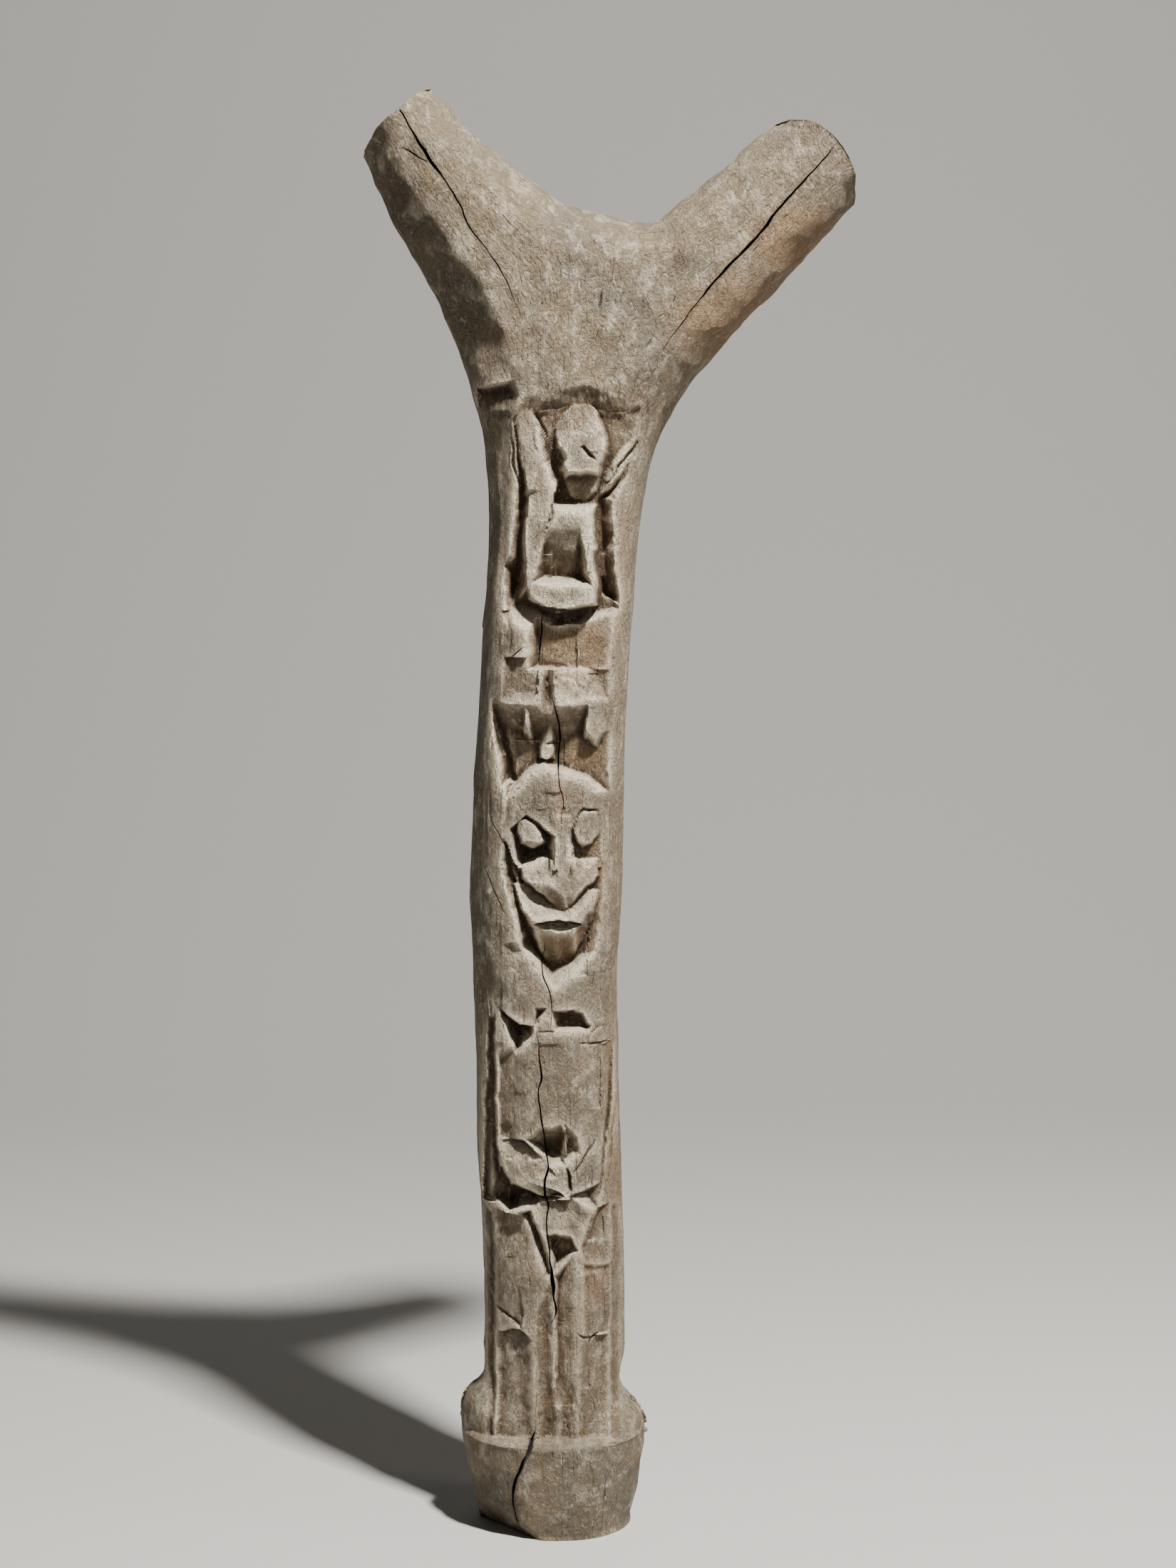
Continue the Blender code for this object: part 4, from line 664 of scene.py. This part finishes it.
# %% Which way the surface faces
def facing(points, triangles):
    """The mean of the neighbouring triangles' cross products at each point, made one long."""
    a, b, c = (points[triangles[:, n]] for n in range(3))
    cross = np.cross(b - a, c - a)
    total = np.stack([sum(np.bincount(triangles[:, n], cross[:, axis], len(points)) for n in range(3))
                      for axis in range(3)], axis=1)
    return total / np.maximum(np.linalg.norm(total, axis=1, keepdims=True), 1e-9)


def cut_depth(points, size, reach, lean, seed, most):
    """How deep the adze cuts go below the ridges between them."""
    lowest = adze_cuts(points, size, reach, lean, seed)
    return np.clip(np.percentile(lowest, 92) - lowest, 0, most)


def in_carving(points):
    """1 on the carved front of the stem, 0 on its sides, back, plinth and fork."""
    x, y, z = points.T
    sides = 1 - ramp(np.abs(x - heart_line(z)), 34, 44)
    return sides * (y < 0) * ramp(z, 62, 70) * (1 - ramp(z, 745, 762))


ROUGH = [((-14, 64, 729, 756), 0.9), ((29, 41, 620, 694), 0.9), ((-13, 16, 64, 150), 0.8), ((-9, 3, 534, 578), 0.8),
         ((-46, -24, 735, 758), 0.9), ((-34, -12, 608, 655), 0.5), ((66, 86, 828, 846), 1.2),
         ((96, 110, 860, 874), 0.9)]


def torn_fibres(points):
    """Splintered patches: noise stretched along the grain, inside boxes with soft borders."""
    x, y, z = points.T
    torn = np.zeros(len(points))
    for (left, right, low, high), amount in ROUGH:
        box = ramp(x, left - 3, left + 3) * (1 - ramp(x, right - 3, right + 3))
        box = box * ramp(z, low - 4, low + 4) * (1 - ramp(z, high - 4, high + 4)) * (y < 0)
        torn = np.maximum(torn, box * amount)
    near = torn > 0
    streaks = np.zeros(len(points))
    streaks[near] = 0.5 + 0.5 * noise(points[near], (2.2, 3, 11), 41) + 0.35 * noise(points[near], (1.3, 2, 4), 42)
    return torn * streaks


def dress(points, triangles):
    """Move every point in by the depth of the cut it lies in."""
    z = points[:, 2]
    normal = facing(points, triangles)
    carving = in_carving(points)
    broad = np.maximum(ramp(z, 742, 775), 1 - ramp(z, 60, 66))
    depth = np.zeros(len(points))
    for share, size, reach, lean, seed, most in (
            (broad, (21, 21, 24), (70, 70, 70), 0.08, 11, 2.4),
            ((1 - broad) * (1 - carving), (13, 13, 60), (50, 50, 900), 0.05, 21, 1.5),
            (carving, (8, 8, 11), (60, 400, 60), 0.17, 31, 1.7)):
        near = share > 0.001
        depth[near] += share[near] * cut_depth(points[near], size, reach, lean, seed, most)
    depth += 0.16 * (1 + noise(points, (2.2, 3, 8), 51)) + 0.25 * np.maximum(noise(points, (5, 5, 11), 52), 0)
    depth += torn_fibres(points)
    inward = -normal * (1 - carving[:, None]) + np.array([0, 1, 0]) * carving[:, None]
    inward /= np.linalg.norm(inward, axis=1, keepdims=True)
    inward[:, 2] *= ramp(z, 0.5, 8)
    return points + inward * (depth * ramp(z, 0, 3))[:, None]


points = dress(points, triangles)
print("with its tool marks cut, the post measures", np.round(np.ptp(points, axis=0), 1), "units")

# %% [markdown]
# ## One mesh, thinned
# The grid is finer than a finished piece may be. Decimate removes points where the surface is nearly flat and keeps
# them along ridges, which is where a carving needs them.

# %% Build and thin the mesh
FACES_KEPT = 178000


def mesh_piece(name, points, triangles):
    """A mesh object at the origin whose points are in metres."""
    mesh = bpy.data.meshes.new(name)
    mesh.from_pydata((points * UNIT).tolist(), [], triangles.tolist())
    piece = bpy.data.objects.new(name, mesh)
    bpy.context.collection.objects.link(piece)
    return piece


def applied(piece):
    """Apply the piece's modifiers to its mesh."""
    made = bpy.data.meshes.new_from_object(piece.evaluated_get(bpy.context.evaluated_depsgraph_get()))
    piece.modifiers.clear()
    piece.data = made
    return len(made.polygons)


post = mesh_piece("forked_post", points, triangles)
thinner = post.modifiers.new("thin", "DECIMATE")
thinner.ratio = FACES_KEPT / len(triangles)
print("thinned to", applied(post), "triangles")

# %% [markdown]
# ## Drying cracks
# A log dries from outside in, so it splits along the grain: one long crack runs down the figures, one along each arm,
# and a wide one crosses the plinth. They are real openings here, cut with a Boolean by thin wedges that follow each
# path, because a painted line gives no shadow. Each path point holds x, z and the crack's width.

# %% Paths of the cracks
FRONT_CRACKS = [
    [(-101, 937, 1.3), (-96, 931, 1.1), (-89, 919, 1.2), (-79, 903, 2.5), (-69.5, 890, 1.3), (-60, 875, 1.3),
     (-52, 857, 1.1), (-41, 843, 0.9), (-31, 828, 0.8), (-20, 803, 0.3)],
    [(-96, 909, 0.4), (-90.5, 906.5, 1.1), (-84, 902, 1.0), (-79, 900, 0.5)],
    [(181, 910, 0.5), (178, 906, 0.9), (160, 886, 1.2), (144, 868, 1.9), (132.7, 853.4, 2.1), (105, 824.5, 1.5),
     (92.7, 809.5, 1.0), (67.6, 776, 0.3)],
    [(-6, 612, 0.3), (-7.5, 595, 1.1), (-9, 578, 0.4)],
    [(0, 556, 0.4), (3, 545, 1.0), (5, 535, 1.1), (4, 520, 1.2), (5, 500, 0.8), (7, 490, 0.6), (6, 475, 0.3)],
    [(-5, 397, 0.3), (-6, 375, 0.9), (-3, 368, 0.9), (0, 352, 0.8), (-1, 341, 0.4)],
    [(-10, 338, 0.4), (-8, 320, 1.0), (-7, 308, 1.3), (-9, 300, 1.1), (-8, 285, 1.1), (-6, 270, 1.1), (-4, 255, 1.2),
     (-3, 248, 1.2), (-5, 240, 1.6), (-5, 230, 1.8), (-3, 222, 1.3), (-4, 215, 1.1), (-3, 200, 1.1), (-1, 180, 1.7),
     (0, 170, 3.0), (1, 160, 1.7), (2, 150, 1.2), (-1, 143, 0.4)],
    [(-11, 72, 0.5), (-13, 67, 1.6), (-15, 62, 2.6), (-21, 48, 2.2), (-25, 38, 2.4), (-26, 25, 1.5), (-22, 5, 0.4)],
    [(-45, 445, 0.3), (-38, 430, 0.9), (-30, 413, 0.3)],
    [(-42, 480, 0.3), (-35, 468, 0.8), (-28, 455, 0.3)],
    [(-28, 582, 0.3), (-22, 586, 0.8), (-17, 590, 0.3)],
]
BACK_CRACKS = [
    [(12, 700, 0.3), (7, 640, 1.2), (5, 560, 1.8), (8, 480, 1.4), (3, 400, 1.8), (6, 320, 1.0), (4, 250, 0.3)],
    [(-20, 330, 0.3), (-17, 270, 1.2), (-19, 200, 1.5), (-15, 130, 0.4)],
    [(24, 60, 0.6), (20, 40, 2.0), (22, 20, 1.2), (25, 6, 0.3)],
    [(128, 858, 0.3), (104, 833, 1.3), (80, 806, 1.0), (62, 780, 0.3)],
    [(-84, 915, 0.3), (-66, 886, 1.2), (-48, 858, 0.9), (-34, 832, 0.3)],
]
CRACK_STEP = 2.5


# %% Thin wedges that follow the paths
def wedge(path, height, sign):
    """Six points round each step of the path: parallel lips outside the wood, then walls that meet below it."""
    length = np.hypot(*np.diff(np.array(path)[:, :2], axis=0).T).sum()
    x, z, width = along_path(path, int(length / CRACK_STEP) + 3).T
    place = np.stack([x, z, np.zeros_like(x)], axis=-1)
    width = np.maximum(width, 0.25) * (1 + 0.3 * noise(place, 7, 61))
    x, z = x + 0.5 * noise(place, 6, 62), z + 0.3 * noise(place, 6, 63)
    run, rise = np.gradient(x), np.gradient(z)
    across = np.stack([rise, -run]) / np.hypot(run, rise)
    top = height(x, z)
    floor = top - 4 - 5 * np.minimum(width, 2)
    side = np.array([-0.5, 0.5, 0.5, 0.06, -0.06, -0.5])[:, None] * width
    outward = np.stack([top + 9, top + 9, top - 0.5, floor, floor, top - 0.5])
    ring = np.stack([x + side * across[0], sign * outward, z + side * across[1]], axis=-1)
    shell = Shell()
    numbers = shell.add(ring.transpose(1, 0, 2))
    shell.sheet(np.concatenate([numbers, numbers[:, :1]], axis=1))
    for row, turned in ((numbers[0], True), (numbers[-1], False)):
        fan = np.array([[row[0], row[n], row[n + 1]] for n in range(1, 5)])
        shell.sheets.append(fan[:, ::-1] if turned else fan)
    points, triangles = shell.finished()
    a, b, c = (points[triangles[:, n]] for n in range(3))
    volume = np.einsum("ij,ij->i", a - points[0], np.cross(b - points[0], c - points[0])).sum()
    return points, triangles if volume > 0 else triangles[:, ::-1]


def back_height(x, z):
    """The plain back: the round log alone."""
    return depths(x, z, BACK_DEPTH)


def open_cracks(post):
    """Subtract every wedge from the post."""
    wedges = [wedge(path, front_height, -1) for path in FRONT_CRACKS]
    wedges += [wedge(path, back_height, 1) for path in BACK_CRACKS]
    starts = np.cumsum([0] + [len(points) for points, _ in wedges])
    cutter = mesh_piece("crack_wedges", np.concatenate([points for points, _ in wedges]),
                        np.concatenate([faces + start for (_, faces), start in zip(wedges, starts)]))
    cut = post.modifiers.new("cracks", "BOOLEAN")
    cut.operation, cut.solver, cut.object = "DIFFERENCE", "MANIFOLD", cutter
    count = applied(post)
    bpy.data.objects.remove(cutter)
    return count


print("with its cracks cut, the post has", open_cracks(post), "faces")

# %% [markdown]
# ## What the wood's finish needs to know
# Recesses are painted brown, partly as dirt and partly as painted shade. Painted shade goes near black in the deepest
# ones, on faces turned down and in the cracks. Edges worn by hands are pale, and faces turned up get a painted
# highlight. So the material needs to know which is which. Blender can guess this from curvature, but the carving's own
# height says it exactly: the height is drawn as a small map, blurred, and what lies below its blurred surroundings is a
# recess. The results are stored on the points as attributes.

# %% Height map and its blur
LEFT, RIGHT, TOP, CELL = -130, 204, 954, 1.0


def height_map():
    """On a square grid: the front's height, how much was carved away there, and 1 where the grid lies on the post."""
    x, z = np.meshgrid(np.arange(LEFT, RIGHT, CELL), np.arange(0, TOP, CELL))
    height = front_height(x, z)
    return height, depths(x, z, FRONT_DEPTH) - height, inside_outline(x, z)


def inside_outline(x, z):
    """1 for points within the outline: between the two sides, and below the edge inside the fork."""
    left = by_height(LEFT_SIDE, np.clip(z, 0, LEFT_TOP))
    right = by_height(RIGHT_SIDE, np.clip(z, 0, RIGHT_TOP))
    roof = np.interp(x, CROTCH_EDGE[:, 0], CROTCH_EDGE[:, 1], left=945, right=925)
    return ((x > left) & (x < right) & (z < roof)).astype(float)


def blur(picture, width):
    """Three running means one after another, along the rows and then the columns."""
    half = max(int(round(width / CELL)), 1)
    for axis in (0, 1):
        for _ in range(3):
            padded = np.pad(picture, [(half + 1, half) if n == axis else (0, 0) for n in (0, 1)], mode="edge")
            total = np.cumsum(padded, axis=axis)
            ahead = np.take(total, range(2 * half + 1, total.shape[axis]), axis=axis)
            behind = np.take(total, range(0, total.shape[axis] - 2 * half - 1), axis=axis)
            picture = (ahead - behind) / (2 * half + 1)
    return picture


def read_map(picture, x, z):
    """The map's value at any point, mixed from the four cells round it."""
    column = np.clip((x - LEFT) / CELL, 0, picture.shape[1] - 1.001)
    row = np.clip(z / CELL, 0, picture.shape[0] - 1.001)
    i, j = row.astype(int), column.astype(int)
    u, v = row - i, column - j
    return ((1 - u) * ((1 - v) * picture[i, j] + v * picture[i, j + 1])
            + u * ((1 - v) * picture[i + 1, j] + v * picture[i + 1, j + 1]))


HEIGHT, CUT, WITHIN = height_map()
SUNK = {width: CUT - blur(CUT * WITHIN, width) / np.maximum(blur(WITHIN, width), 0.01) for width in (2, 6)}
print("the carving is up to", round(float(SUNK[6][80:740, 90:170].max()), 1), "units below its surroundings")


# %% Attributes on the points
# Warm spots: partly the wood's own orange tone, partly painted warm light on the right side of the stem and on the
# right arm.
WARM_TONE_AND_LIGHT = [(14, 590, 34, 30, 0.6), (12, 395, 20, 14, 0.8), (5, 490, 6, 24, 0.7), (30, 430, 10, 40, 0.5),
        (28, 170, 10, 26, 0.6), (40, 640, 12, 60, 0.6), (120, 800, 60, 30, 0.7), (160, 850, 40, 26, 0.8),
        (20, 515, 20, 18, 0.5), (15, 340, 18, 8, 0.5), (42, 300, 10, 200, 0.35)]
# Stain spots: real stains, and painted shade on the left arm's bevel, the left eye socket and the deep right pit.
STAINS_AND_SHADE = [(-92, 872, 30, 34, 0.55), (-52, 800, 14, 40, 0.4), (-34, 745, 12, 14, 0.7), (-40, 22, 22, 20, 0.8),
           (10, 6, 30, 8, 0.6), (-20, 462, 12, 14, 0.5), (84, 836, 12, 9, 0.7), (5.5, 816, 4, 3, 1.0),
           (-10, 58, 20, 8, 0.4), (36, 625, 8, 18, 0.7)]


def spots(points, places):
    """The strongest of some soft oval spots on the front: one less the distance to the centre in half-widths."""
    x, y, z = points.T
    found = np.zeros(len(points))
    for centre_x, centre_z, reach_x, reach_z, amount in places:
        gap = np.hypot((x - centre_x) / reach_x, (z - centre_z) / reach_z)
        found = np.maximum(found, amount * (1 - ramp(gap, 0.4, 1.15)))
    return found * (y < 0)


def grain(points):
    """Places in the log's own frame: how far across from the heart, how deep, and how far up."""
    x, y, z = points.T
    to_left, to_right, to_crotch = edge_distances(x, z)
    middle = heart_line(z)
    to_heart = np.where(z < CROTCH[1], np.minimum(np.abs(x - middle), to_crotch), to_crotch)
    left = x < np.where(z < CROTCH[1], middle, CROTCH[0])
    outer = np.where(left, to_left, to_right)
    across = 48 * to_heart / np.maximum(to_heart + outer, 1e-6)
    return np.stack([np.where(left, -across, across), y, z], axis=1) * UNIT


def painted_crack_shade(points):
    """Masks for painted shade: 1 inside a crack, fading out over a few units beside it."""
    x, y, z = points.T
    inner, beside = np.zeros(len(points)), np.zeros(len(points))
    for paths, front in ((FRONT_CRACKS, True), (BACK_CRACKS, False)):
        surface = read_map(HEIGHT, x, z) if front else back_height(x, z)
        below = surface - (-y if front else y)
        for path in paths:
            gap, share = to_path(x, z, path)
            width = np.interp(share, np.linspace(0, 1, len(path)), [point[2] for point in path])
            here = (y < 0) if front else (y > 0)
            inner = np.maximum(inner, here * (gap < width / 2 + 0.8) * ramp(below, 1.2, 3.5))
            beside = np.maximum(beside, here * (1 - ramp(gap, width / 2, width / 2 + 3)) * ramp(width, 0.2, 1.0))
    return inner, beside


def store(piece, name, values):
    """Store one number, or one vector, for each point."""
    vector = values.ndim == 2
    layer = piece.data.attributes.new(name, "FLOAT_VECTOR" if vector else "FLOAT", "POINT")
    layer.data.foreach_set("vector" if vector else "value", values.astype(np.float32).ravel())


def measure(piece):
    """Work out and store everything that the wood's finish reads."""
    places = np.empty(len(piece.data.vertices) * 3)
    piece.data.vertices.foreach_get("co", places)
    points = places.reshape(-1, 3) / UNIT
    x, y, z = points.T
    front = ramp(-y, 2, 12) * ramp(z, 60, 66)
    fine, broad = (read_map(SUNK[width], x, z) * front for width in (2, 6))
    inner, beside = painted_crack_shade(points)
    normals = np.empty(len(points) * 3)
    piece.data.vertex_normals.foreach_get("vector", normals)
    upward = normals[2::3]
    # Painted shade: faces turned down are added to the recess mask, so they are painted browner.
    under = 0.5 * np.maximum(-upward, 0) * front
    store(piece, "recess_dirt_and_shade", np.clip(0.45 * np.maximum(fine, 0) + 0.11 * np.maximum(broad, 0) + under, 0, 1))
    # Painted highlight: faces turned up inside the carving are painted paler, added to the mask of worn proud edges.
    painted_top_light = 0.7 * ramp(upward, 0.15, 0.7) * in_carving(points)
    store(piece, "proud_wear_and_top_light", np.clip(0.5 * np.maximum(-fine, 0) + 0.10 * np.maximum(-broad, 0) + painted_top_light, 0, 1))
    # Painted shade: the insides of the cracks and a band beside them are painted dark.
    store(piece, "crack", inner)
    store(piece, "painted_shade_beside_crack", beside)
    # The warm spots are partly the wood's own orange tone and partly painted warm light on the right side.
    store(piece, "warm_tone_and_light", spots(points, WARM_TONE_AND_LIGHT))
    # The stain spots are partly real stains and partly painted shade on the left arm's bevel, the left eye socket and
    # the right pit.
    store(piece, "stain_and_shade", spots(points, STAINS_AND_SHADE))
    store(piece, "torn", np.clip(torn_fibres(points) * 2, 0, 1))
    store(piece, "grain", grain(points))
    return len(points)


print("attributes stored on", measure(post), "points")

# %% [markdown]
# ## A small language for shader nodes
# A wood finish needs some forty nodes. Placed by hand they are hard to follow, so a small class wraps a socket and
# gives it the signs of arithmetic: an expression such as 1 - mask * 0.5 adds its Math nodes by itself.

# %% Sockets that can be added and multiplied
class Link:
    """A socket of a node, with arithmetic that adds Math nodes."""

    def __init__(self, finish, socket):
        self.finish, self.socket = finish, socket

    def maths(self, operation, first, second, clamp=False):
        return self.finish.node("Math", {"operation": operation, "use_clamp": clamp}, {0: first, 1: second})

    def __add__(self, other):
        return self.maths("ADD", self, other)

    def __sub__(self, other):
        return self.maths("SUBTRACT", self, other)

    def __rsub__(self, other):
        return self.maths("SUBTRACT", other, self)

    def __mul__(self, other):
        return self.maths("MULTIPLY", self, other)

    __radd__, __rmul__ = __add__, __mul__

    def clamped(self):
        return self.maths("ADD", self, 0.0, clamp=True)

    def between(self, low, high):
        """0 below low, 1 above high and smooth between them."""
        return self.finish.node("MapRange", {"interpolation_type": "SMOOTHSTEP"},
                                {"Value": self, "From Min": low, "From Max": high})


class Finish:
    """One material and its nodes."""

    def __init__(self, name):
        self.material = bpy.data.materials.new(name)
        self.material.use_nodes = True
        self.tree = self.material.node_tree
        self.shader = self.tree.nodes["Principled BSDF"]

    def node(self, kind, settings=None, values=None, output=0):
        """Add a node: its settings first, then a value or a link for each socket that is named or numbered."""
        made = self.tree.nodes.new("ShaderNode" + kind)
        for name, value in (settings or {}).items():
            setattr(made, name, value)
        for name, value in (values or {}).items():
            self.give(made.inputs[name], value)
        return Link(self, made.outputs[output])

    def give(self, socket, value):
        """Link a socket, or set its value."""
        if isinstance(value, Link):
            self.tree.links.new(value.socket, socket)
        else:
            socket.default_value = value

    def mix(self, first, second, share):
        """Mix two colours by their share of the second."""
        return self.node("Mix", {"data_type": "RGBA"}, {0: share, 6: first, 7: second}, 2)

    def attribute(self, name, output="Fac"):
        return self.node("Attribute", {"attribute_name": name}, {}, output)

    def noise(self, places, size, detail=3.0, roughness=0.55, twist=0.0):
        """Noise whose blobs have this size in metres along each of the three ways."""
        stretched = self.node("Mapping", {}, {"Vector": places, "Scale": tuple(1 / s for s in size)})
        return self.node("TexNoise", {}, {"Vector": stretched, "Scale": 1.0, "Detail": detail,
                                          "Roughness": roughness, "Distortion": twist})

    def surface(self, **values):
        """Set or link the shader's own sockets."""
        for name, value in values.items():
            self.give(self.shader.inputs[name.replace("_", " ")], value)


print("Math, Mix and noise nodes can now be written as expressions")

# %% [markdown]
# ## Old dry wood
# The post is bare, weathered wood: grey-tan where light and air reached it, brown where the knife went deep (partly
# dirt, partly painted shade), pale on worn edges and, as a painted highlight, on faces turned up. Painted shade also
# darkens faces turned down, some dark patches among the stains, and the cracks to nearly black. Orange is partly the
# wood's own tone and partly painted warm light on the right. A photograph wrapped round it would smear on the sides,
# so the colour is mixed from noise that lives inside the log and is stretched along its grain.

# %% Colours and grain of the wood
def colour(red, green, blue):
    return (red, green, blue, 1.0)


TAN = colour(0.195, 0.153, 0.101)
PALE = colour(0.69, 0.60, 0.46)
GREY = colour(0.130, 0.117, 0.090)
BROWN = colour(0.125, 0.078, 0.042)
ORANGE = colour(0.255, 0.155, 0.080)
DARK = colour(0.022, 0.016, 0.011)


def old_wood():
    """Tan, mottled pale and grey, then over it the recesses as dirt and painted shade, warm places as own tone and
    painted warm light, pale edges and painted top light, stains with some painted shade, streaks, and the cracks'
    painted shade.
    """
    wood = Finish("old_carved_wood")
    here = wood.node("TexCoord", {}, {}, "Object")
    log = wood.attribute("grain", "Vector")
    recess_dirt_and_shade, proud_wear_and_top_light, torn = (wood.attribute(name) for name in ("recess_dirt_and_shade", "proud_wear_and_top_light", "torn"))
    crack, painted_shade_beside_crack, warm_tone_and_light, stain_and_shade = (wood.attribute(name) for name in ("crack", "painted_shade_beside_crack", "warm_tone_and_light", "stain_and_shade"))
    cloud = wood.noise(here, (0.045, 0.045, 0.07), 4)
    blotch = wood.noise(here, (0.011, 0.011, 0.016), 5, 0.65, 0.6)
    streak = wood.noise(log, (0.0022, 0.003, 0.05), 4, 0.65)
    fibre = wood.noise(log, (0.0007, 0.0009, 0.012), 4, 0.65)
    speck = wood.noise(here, (0.0020, 0.0020, 0.0032), 4, 0.75)
    nick = wood.noise(here, (0.0040, 0.0040, 0.006), 4, 0.65, 1.5)
    hair = wood.noise(log, (0.0010, 0.0014, 0.022), 3, 0.55, 0.3)

    base = wood.mix(TAN, GREY, (cloud * 0.8 + blotch * 0.6).between(0.55, 0.88) * 0.9)
    base = wood.mix(base, PALE, (blotch * 0.9 + speck * 0.3).between(0.56, 0.80) * 0.45)
    # Orange: partly the wood's own tone, partly painted warm light on the right.
    base = wood.mix(base, ORANGE, (warm_tone_and_light * (0.55 + blotch)).clamped() * 0.8)
    # Recesses are painted brown, partly as dirt and partly as painted shade; the deepest are painted near black, which
    # is painted shade.
    base = wood.mix(base, BROWN, (recess_dirt_and_shade * (0.7 + blotch)).clamped() * 0.9)
    base = wood.mix(base, DARK, recess_dirt_and_shade.between(0.45, 1.0) * 0.6)
    # Pale: wear on proud edges, plus a painted highlight on faces turned up.
    base = wood.mix(base, PALE, (proud_wear_and_top_light * (0.55 + speck)).clamped() * 0.92)
    base = wood.mix(base, BROWN, streak.between(0.56, 0.80) * 0.4)
    base = wood.mix(base, PALE, fibre.between(0.60, 0.78) * 0.15)
    # Dark stains, some of them painted shade.
    base = wood.mix(base, DARK, (stain_and_shade * blotch.between(0.30, 0.60)) * 0.85)
    base = wood.mix(base, DARK, speck.between(0.61, 0.72) * 0.5)
    base = wood.mix(base, BROWN, nick.between(0.57, 0.66) * 0.6)
    base = wood.mix(base, PALE, (1 - nick).between(0.58, 0.66) * 0.3)
    base = wood.mix(base, DARK, hair.between(0.66, 0.74) * 0.8)
    base = wood.mix(base, BROWN, torn * fibre.between(0.4, 0.6) * 0.7)
    # Painted shade inside and beside the cracks.
    base = wood.mix(base, DARK, (painted_shade_beside_crack * 0.35 * blotch + crack).clamped())

    relief = fibre * 0.35 + streak * 0.8 + speck * 0.5 + nick * 1.3 - hair.between(0.62, 0.74) * 0.5
    bump = wood.node("Bump", {}, {"Strength": 0.9, "Distance": 0.0032, "Height": relief})
    rough = 0.92 - proud_wear_and_top_light * 0.22 - cloud.between(0.5, 0.8) * 0.1
    wood.surface(Base_Color=base, Roughness=rough, Normal=bump, Specular_IOR_Level=0.35)
    return wood.material


post.data.materials.clear()
post.data.materials.append(old_wood())
post.data.shade_smooth()
post.data.set_sharp_from_angle(angle=np.radians(38))
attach(post, "root")
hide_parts("carved_post")
print("finish:", post.data.materials[0].name)

# %% [markdown]
# ## Floor, light and camera
# The post stands on a plain pale sheet that curves up behind it, as in a studio. One soft lamp high in front and a
# little to the right draws the carving with the shadows under each form. A weak warm lamp from the right and a weak
# even sky keep the shadows open.

# %% Studio sheet
def studio_sheet():
    """A floor that turns up into a wall: depth and height follow a quarter circle between two straight runs."""
    along = np.linspace(0, 1, 60)
    turn = np.clip((along - 0.45) / 0.25, 0, 1) * np.pi / 2
    y = np.where(along < 0.45, -4 + along / 0.45 * 5.4, 1.4 + 1.2 * np.sin(turn))
    z = np.where(along < 0.45, 0, 1.2 * (1 - np.cos(turn)) + np.maximum(along - 0.7, 0) / 0.3 * 3)
    x, y = np.meshgrid(np.linspace(-4, 4, 9), y)
    z = np.repeat(z[:, None], 9, axis=1)
    shell = Shell()
    shell.sheet(shell.add(np.stack([x, y, z], axis=-1) / UNIT), flip=True)
    points, triangles = shell.finished()
    sheet = mesh_piece("studio_sheet", points, triangles)
    sheet.data.shade_smooth()
    paper = Finish("pale_paper")
    paper.surface(Base_Color=colour(0.50, 0.495, 0.48), Roughness=0.9)
    sheet.data.materials.append(paper.material)
    return sheet


print("studio sheet:", len(studio_sheet().data.polygons), "triangles")

# %% Lamps
def lamp(name, place, target, width, power, tint):
    """A square lamp that looks from its place to a target."""
    light = bpy.data.lights.new(name, "AREA")
    light.size, light.energy, light.color = width, power, tint
    holder = bpy.data.objects.new(name, light)
    holder.location = place
    holder.rotation_euler = (Vector(target) - Vector(place)).to_track_quat("-Z", "Y").to_euler()
    bpy.context.collection.objects.link(holder)
    return holder


lamp("key_lamp", (0.62, -1.00, 2.40), (0.02, -0.04, 0.48), 0.18, 175, (1.0, 0.965, 0.91))
lamp("side_lamp", (1.9, -0.5, 0.8), (0.02, 0, 0.50), 0.6, 6, (1.0, 0.90, 0.78))
world = bpy.data.worlds.new("even_sky")
world.use_nodes = True
world.node_tree.nodes["Background"].inputs["Color"].default_value = (0.80, 0.86, 0.95, 1)
world.node_tree.nodes["Background"].inputs["Strength"].default_value = 0.03
bpy.context.scene.world = world

# %% Camera
CAMERA_PLACE = (0.0233, -2.40, 0.74)
LOOKING_DOWN = 5.8
LENS = 83.9
seen = bpy.data.cameras.new("camera")
seen.lens, seen.sensor_fit, seen.sensor_height = LENS, "VERTICAL", 36.0
camera = bpy.data.objects.new("camera", seen)
camera.location = CAMERA_PLACE
camera.rotation_euler = (np.radians(90 - LOOKING_DOWN), 0, 0)
bpy.context.collection.objects.link(camera)
bpy.context.scene.camera = camera
print("camera", CAMERA_PLACE, "looks", LOOKING_DOWN, "degrees down")
